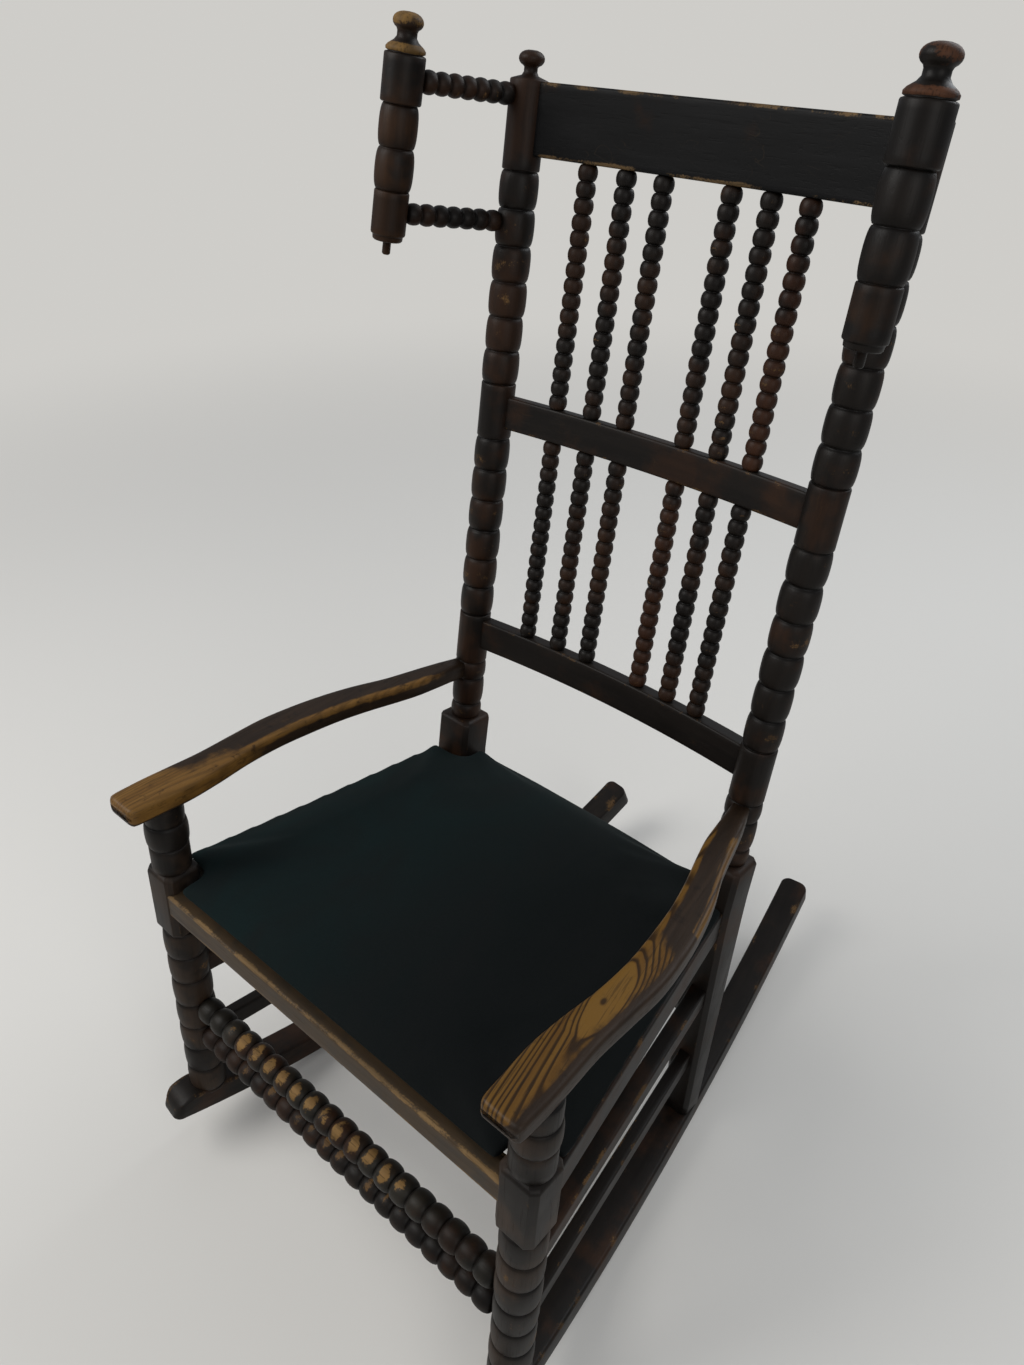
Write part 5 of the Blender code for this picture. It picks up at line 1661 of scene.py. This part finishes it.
@dataclass
class SeatPad:
    """The thin padded seat in its velvet cover, swollen by a cloth simulation."""

    voxel: float = 0.0045
    shrink: float = 0.0018
    pressure: float = 2.5
    frames: int = 20
    most_move: float = 0.005
    pinned_below: float = 0.0035
    fill: float = 0.7
    weld: float = 1e-5
    stiffness: float = 0.6
    first_smooth: int = 6
    last_smooth: int = 4

    def build(self) -> None:
        """Makes the pad from the CAD solid's own form."""
        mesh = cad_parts["seat_pad"].data.copy()
        mesh.name = "seat_pad_finished"
        mesh.materials.clear()
        piece = bpy.data.objects.new(mesh.name, mesh)
        bpy.context.scene.collection.objects.link(piece)
        with self.edited(mesh) as bm:
            bmesh.ops.remove_doubles(bm, verts=bm.verts, dist=self.weld)
            bmesh.ops.transform(bm, matrix=FRAMES.chair.inverted(), verts=bm.verts)
        remesh = piece.modifiers.new("even_cloth", "REMESH")
        remesh.mode = "VOXEL"
        remesh.voxel_size = self.voxel
        self.apply(piece)
        piece.data.transform(FRAMES.chair)
        self.tighten(piece)
        self.swell(piece)
        for polygon in piece.data.polygons:
            polygon.use_smooth = True
        piece.data.materials.append(Velvet().material())
        rounder = piece.modifiers.new("round_cloth", "SUBSURF")
        rounder.levels = rounder.render_levels = 1
        hand_over(piece, "seat_pad")

    @staticmethod
    @contextmanager
    def edited(mesh: bpy.types.Mesh) -> Iterator[bmesh.types.BMesh]:
        """Opens a mesh to bmesh operators and writes it back at the end."""
        bm = bmesh.new()
        bm.from_mesh(mesh)
        yield bm
        bm.to_mesh(mesh)
        bm.free()

    @staticmethod
    def apply(piece: bpy.types.Object) -> None:
        """Turns a piece's modifiers into its mesh."""
        graph = bpy.context.evaluated_depsgraph_get()
        mesh = bpy.data.meshes.new_from_object(piece.evaluated_get(graph))
        piece.modifiers.clear()
        mesh.name = piece.name
        piece.data = mesh

    @staticmethod
    def smooth(bm: bmesh.types.BMesh, times: int) -> None:
        """Evens out a mesh a number of times."""
        for _ in range(times):
            bmesh.ops.smooth_vert(
                bm, verts=bm.verts, factor=0.5, use_axis_x=True, use_axis_y=True, use_axis_z=True
            )
        bm.normal_update()

    def tighten(self, piece: bpy.types.Object) -> None:
        """Draws the shape in a little, because it swells later, and evens out its voxel steps."""
        inside = FRAMES.chair.inverted()
        with self.edited(piece.data) as bm:
            self.smooth(bm, self.first_smooth)
            for vert in bm.verts:
                if (inside @ vert.co).z > FRAMES.seat_level + self.pinned_below:
                    vert.co -= vert.normal * self.shrink

    def swell(self, piece: bpy.types.Object) -> None:
        """Blows the cover up by a cloth simulation, held down along its underside."""
        inside = FRAMES.chair.inverted()
        below = piece.vertex_groups.new(name="held")
        still = [vert.co.copy() for vert in piece.data.vertices]
        limit = FRAMES.seat_level + self.pinned_below
        below.add([n for n, point in enumerate(still) if (inside @ point).z < limit], 1.0, "REPLACE")
        cloth = piece.modifiers.new("padding", "CLOTH")
        cloth.settings.vertex_group_mass = below.name
        cloth.settings.use_pressure = True
        cloth.settings.uniform_pressure_force = self.pressure
        cloth.settings.effector_weights.gravity = 0.0
        cloth.settings.bending_stiffness = self.stiffness
        scene = bpy.context.scene
        for number in range(1, self.frames + 1):
            scene.frame_set(number)
        self.apply(piece)
        for vert, start in zip(piece.data.vertices, still):
            move = vert.co - start
            if move.length > self.most_move:
                vert.co = start + move.normalized() * self.most_move
        scene.frame_set(1)
        with self.edited(piece.data) as bm:
            self.smooth(bm, self.last_smooth)


@dataclass
class Underside:
    """The board, blocks and screws under the seat, whose CAD shapes are right as they are."""

    board: str = "seat_board"

    def build(self) -> None:
        """Gives these CAD nodes their finishes."""
        board = BareSoftwood("seat_board_pine", axis_in(FRAMES.chair, "X")).material()
        block = BareSoftwood("corner_block_pine", axis_in(FRAMES.chair, "Y")).material()
        steel = ScrewSteel().material()
        dressed = {self.board: board}
        for end in ("front", "back"):
            for side in Side:
                dressed[f"corner_block_{end}_{side.word}"] = block
                dressed[f"seat_screw_{end}_{side.word}"] = steel
        for node, material in dressed.items():
            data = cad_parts[node].data
            data.materials.clear()
            data.materials.append(material)
            LOG.info("%s: CAD shape, dressed", node)


@dataclass
class Studio:
    """A pale floor, soft lamps and the camera."""

    position: Point = (0.492, -0.6150, 1.1878)
    azimuth: float = math.radians(41.045)
    elevation: float = math.radians(36.904)
    roll: float = math.radians(-0.480)
    lens: float = 26.69
    sensor: float = 36.0
    floor_size: float = 120.0
    world: Colour = (0.92, 0.95, 1.0)
    world_strength: float = 0.45
    # Each lamp's name, place, target, size, power and colour
    lamps: tuple[tuple[str, Point, Point, float, float, Colour], ...] = (
        ("key", (-1.5, -1.7, 2.5), (0.0, 0.0, 0.5), 1.8, 62.0, (1.0, 0.98, 0.95)),
        ("fill", (2.2, -1.2, 1.7), (0.0, 0.0, 0.5), 1.6, 20.0, (1.0, 0.97, 0.93)),
        ("rear", (0.5, 2.2, 2.3), (0.0, 0.0, 0.6), 1.8, 34.0, (0.94, 0.97, 1.0)),
    )

    def build(self) -> None:
        """Sets up the floor, the light and the camera."""
        self.add_floor()
        for lamp in self.lamps:
            self.add_lamp(*lamp)
        world = bpy.data.worlds.new("soft_room")
        world.use_nodes = True
        graph = Graph(world.node_tree)
        sky = graph.tree.nodes["Background"]
        graph.wire(sky, {"Color": (*self.world, 1.0), "Strength": self.world_strength})
        backdrop = {"Color": (*PaleFloor.backdrop, 1.0), "Strength": 1.0}
        even = graph.add("ShaderNodeBackground", backdrop).outputs[0]
        seen = graph.add("ShaderNodeLightPath").outputs["Is Camera Ray"]
        blend = graph.add("ShaderNodeMixShader", {0: seen, 1: sky.outputs[0], 2: even}).outputs[0]
        graph.wire(graph.tree.nodes["World Output"], {"Surface": blend})
        scene = bpy.context.scene
        scene.world = world
        scene.view_settings.view_transform = "Standard"
        self.add_camera()

    def add_floor(self) -> None:
        """Lays the floor."""
        bm = bmesh.new()
        bmesh.ops.create_grid(bm, x_segments=4, y_segments=4, size=self.floor_size / 2)
        mesh = bpy.data.meshes.new("floor")
        bm.to_mesh(mesh)
        bm.free()
        mesh.materials.append(PaleFloor().material())
        floor = bpy.data.objects.new("floor", mesh)
        bpy.context.scene.collection.objects.link(floor)

    @staticmethod
    def add_lamp(name: str, place: Point, target: Point, size: float, power: float, colour: Colour) -> None:
        """Hangs a soft lamp.

        Args:
            name: what it is called.
            place: where it hangs.
            target: what it shines at.
            size: the width of its face.
            power: its power in watts.
            colour: its colour.
        """
        lamp = bpy.data.lights.new(name, "AREA")
        lamp.size = size
        lamp.energy = power
        lamp.color = colour
        holder = bpy.data.objects.new(name, lamp)
        turn = (Vector(target) - Vector(place)).to_track_quat("-Z", "Y").to_matrix().to_4x4()
        holder.matrix_world = Matrix.Translation(place) @ turn
        bpy.context.scene.collection.objects.link(holder)

    def add_camera(self) -> None:
        """Stands the camera where the photograph was taken from."""
        level = Vector((math.cos(self.azimuth), math.sin(self.azimuth), 0.0))
        flat = math.cos(self.elevation)
        back = Vector((level.y * flat, -level.x * flat, math.sin(self.elevation)))
        upright = back.cross(level)
        right = math.cos(self.roll) * level + math.sin(self.roll) * upright
        camera = bpy.data.cameras.new("camera")
        camera.lens = self.lens
        camera.sensor_width = self.sensor
        holder = bpy.data.objects.new("camera", camera)
        turn = Matrix((right, back.cross(right), back)).transposed().to_4x4()
        holder.matrix_world = Matrix.Translation(self.position) @ turn
        bpy.context.scene.collection.objects.link(holder)
        bpy.context.scene.camera = holder


def main() -> None:
    """Builds the chair's sub-assemblies in order, and then the studio round it."""
    logging.basicConfig(level=logging.INFO, format="%(name)s: %(message)s")
    assemblies = (
        Rockers(), FrontLegs(), BackPosts(), BackPanel(), HeadWings(), Arms(), SeatFrame(), Stretchers(),
        SeatPad(), Underside(), Studio(),
    )
    for assembly in assemblies:
        assembly.build()
        LOG.info("%s done", type(assembly).__name__)


if __name__ == "__main__":
    main()
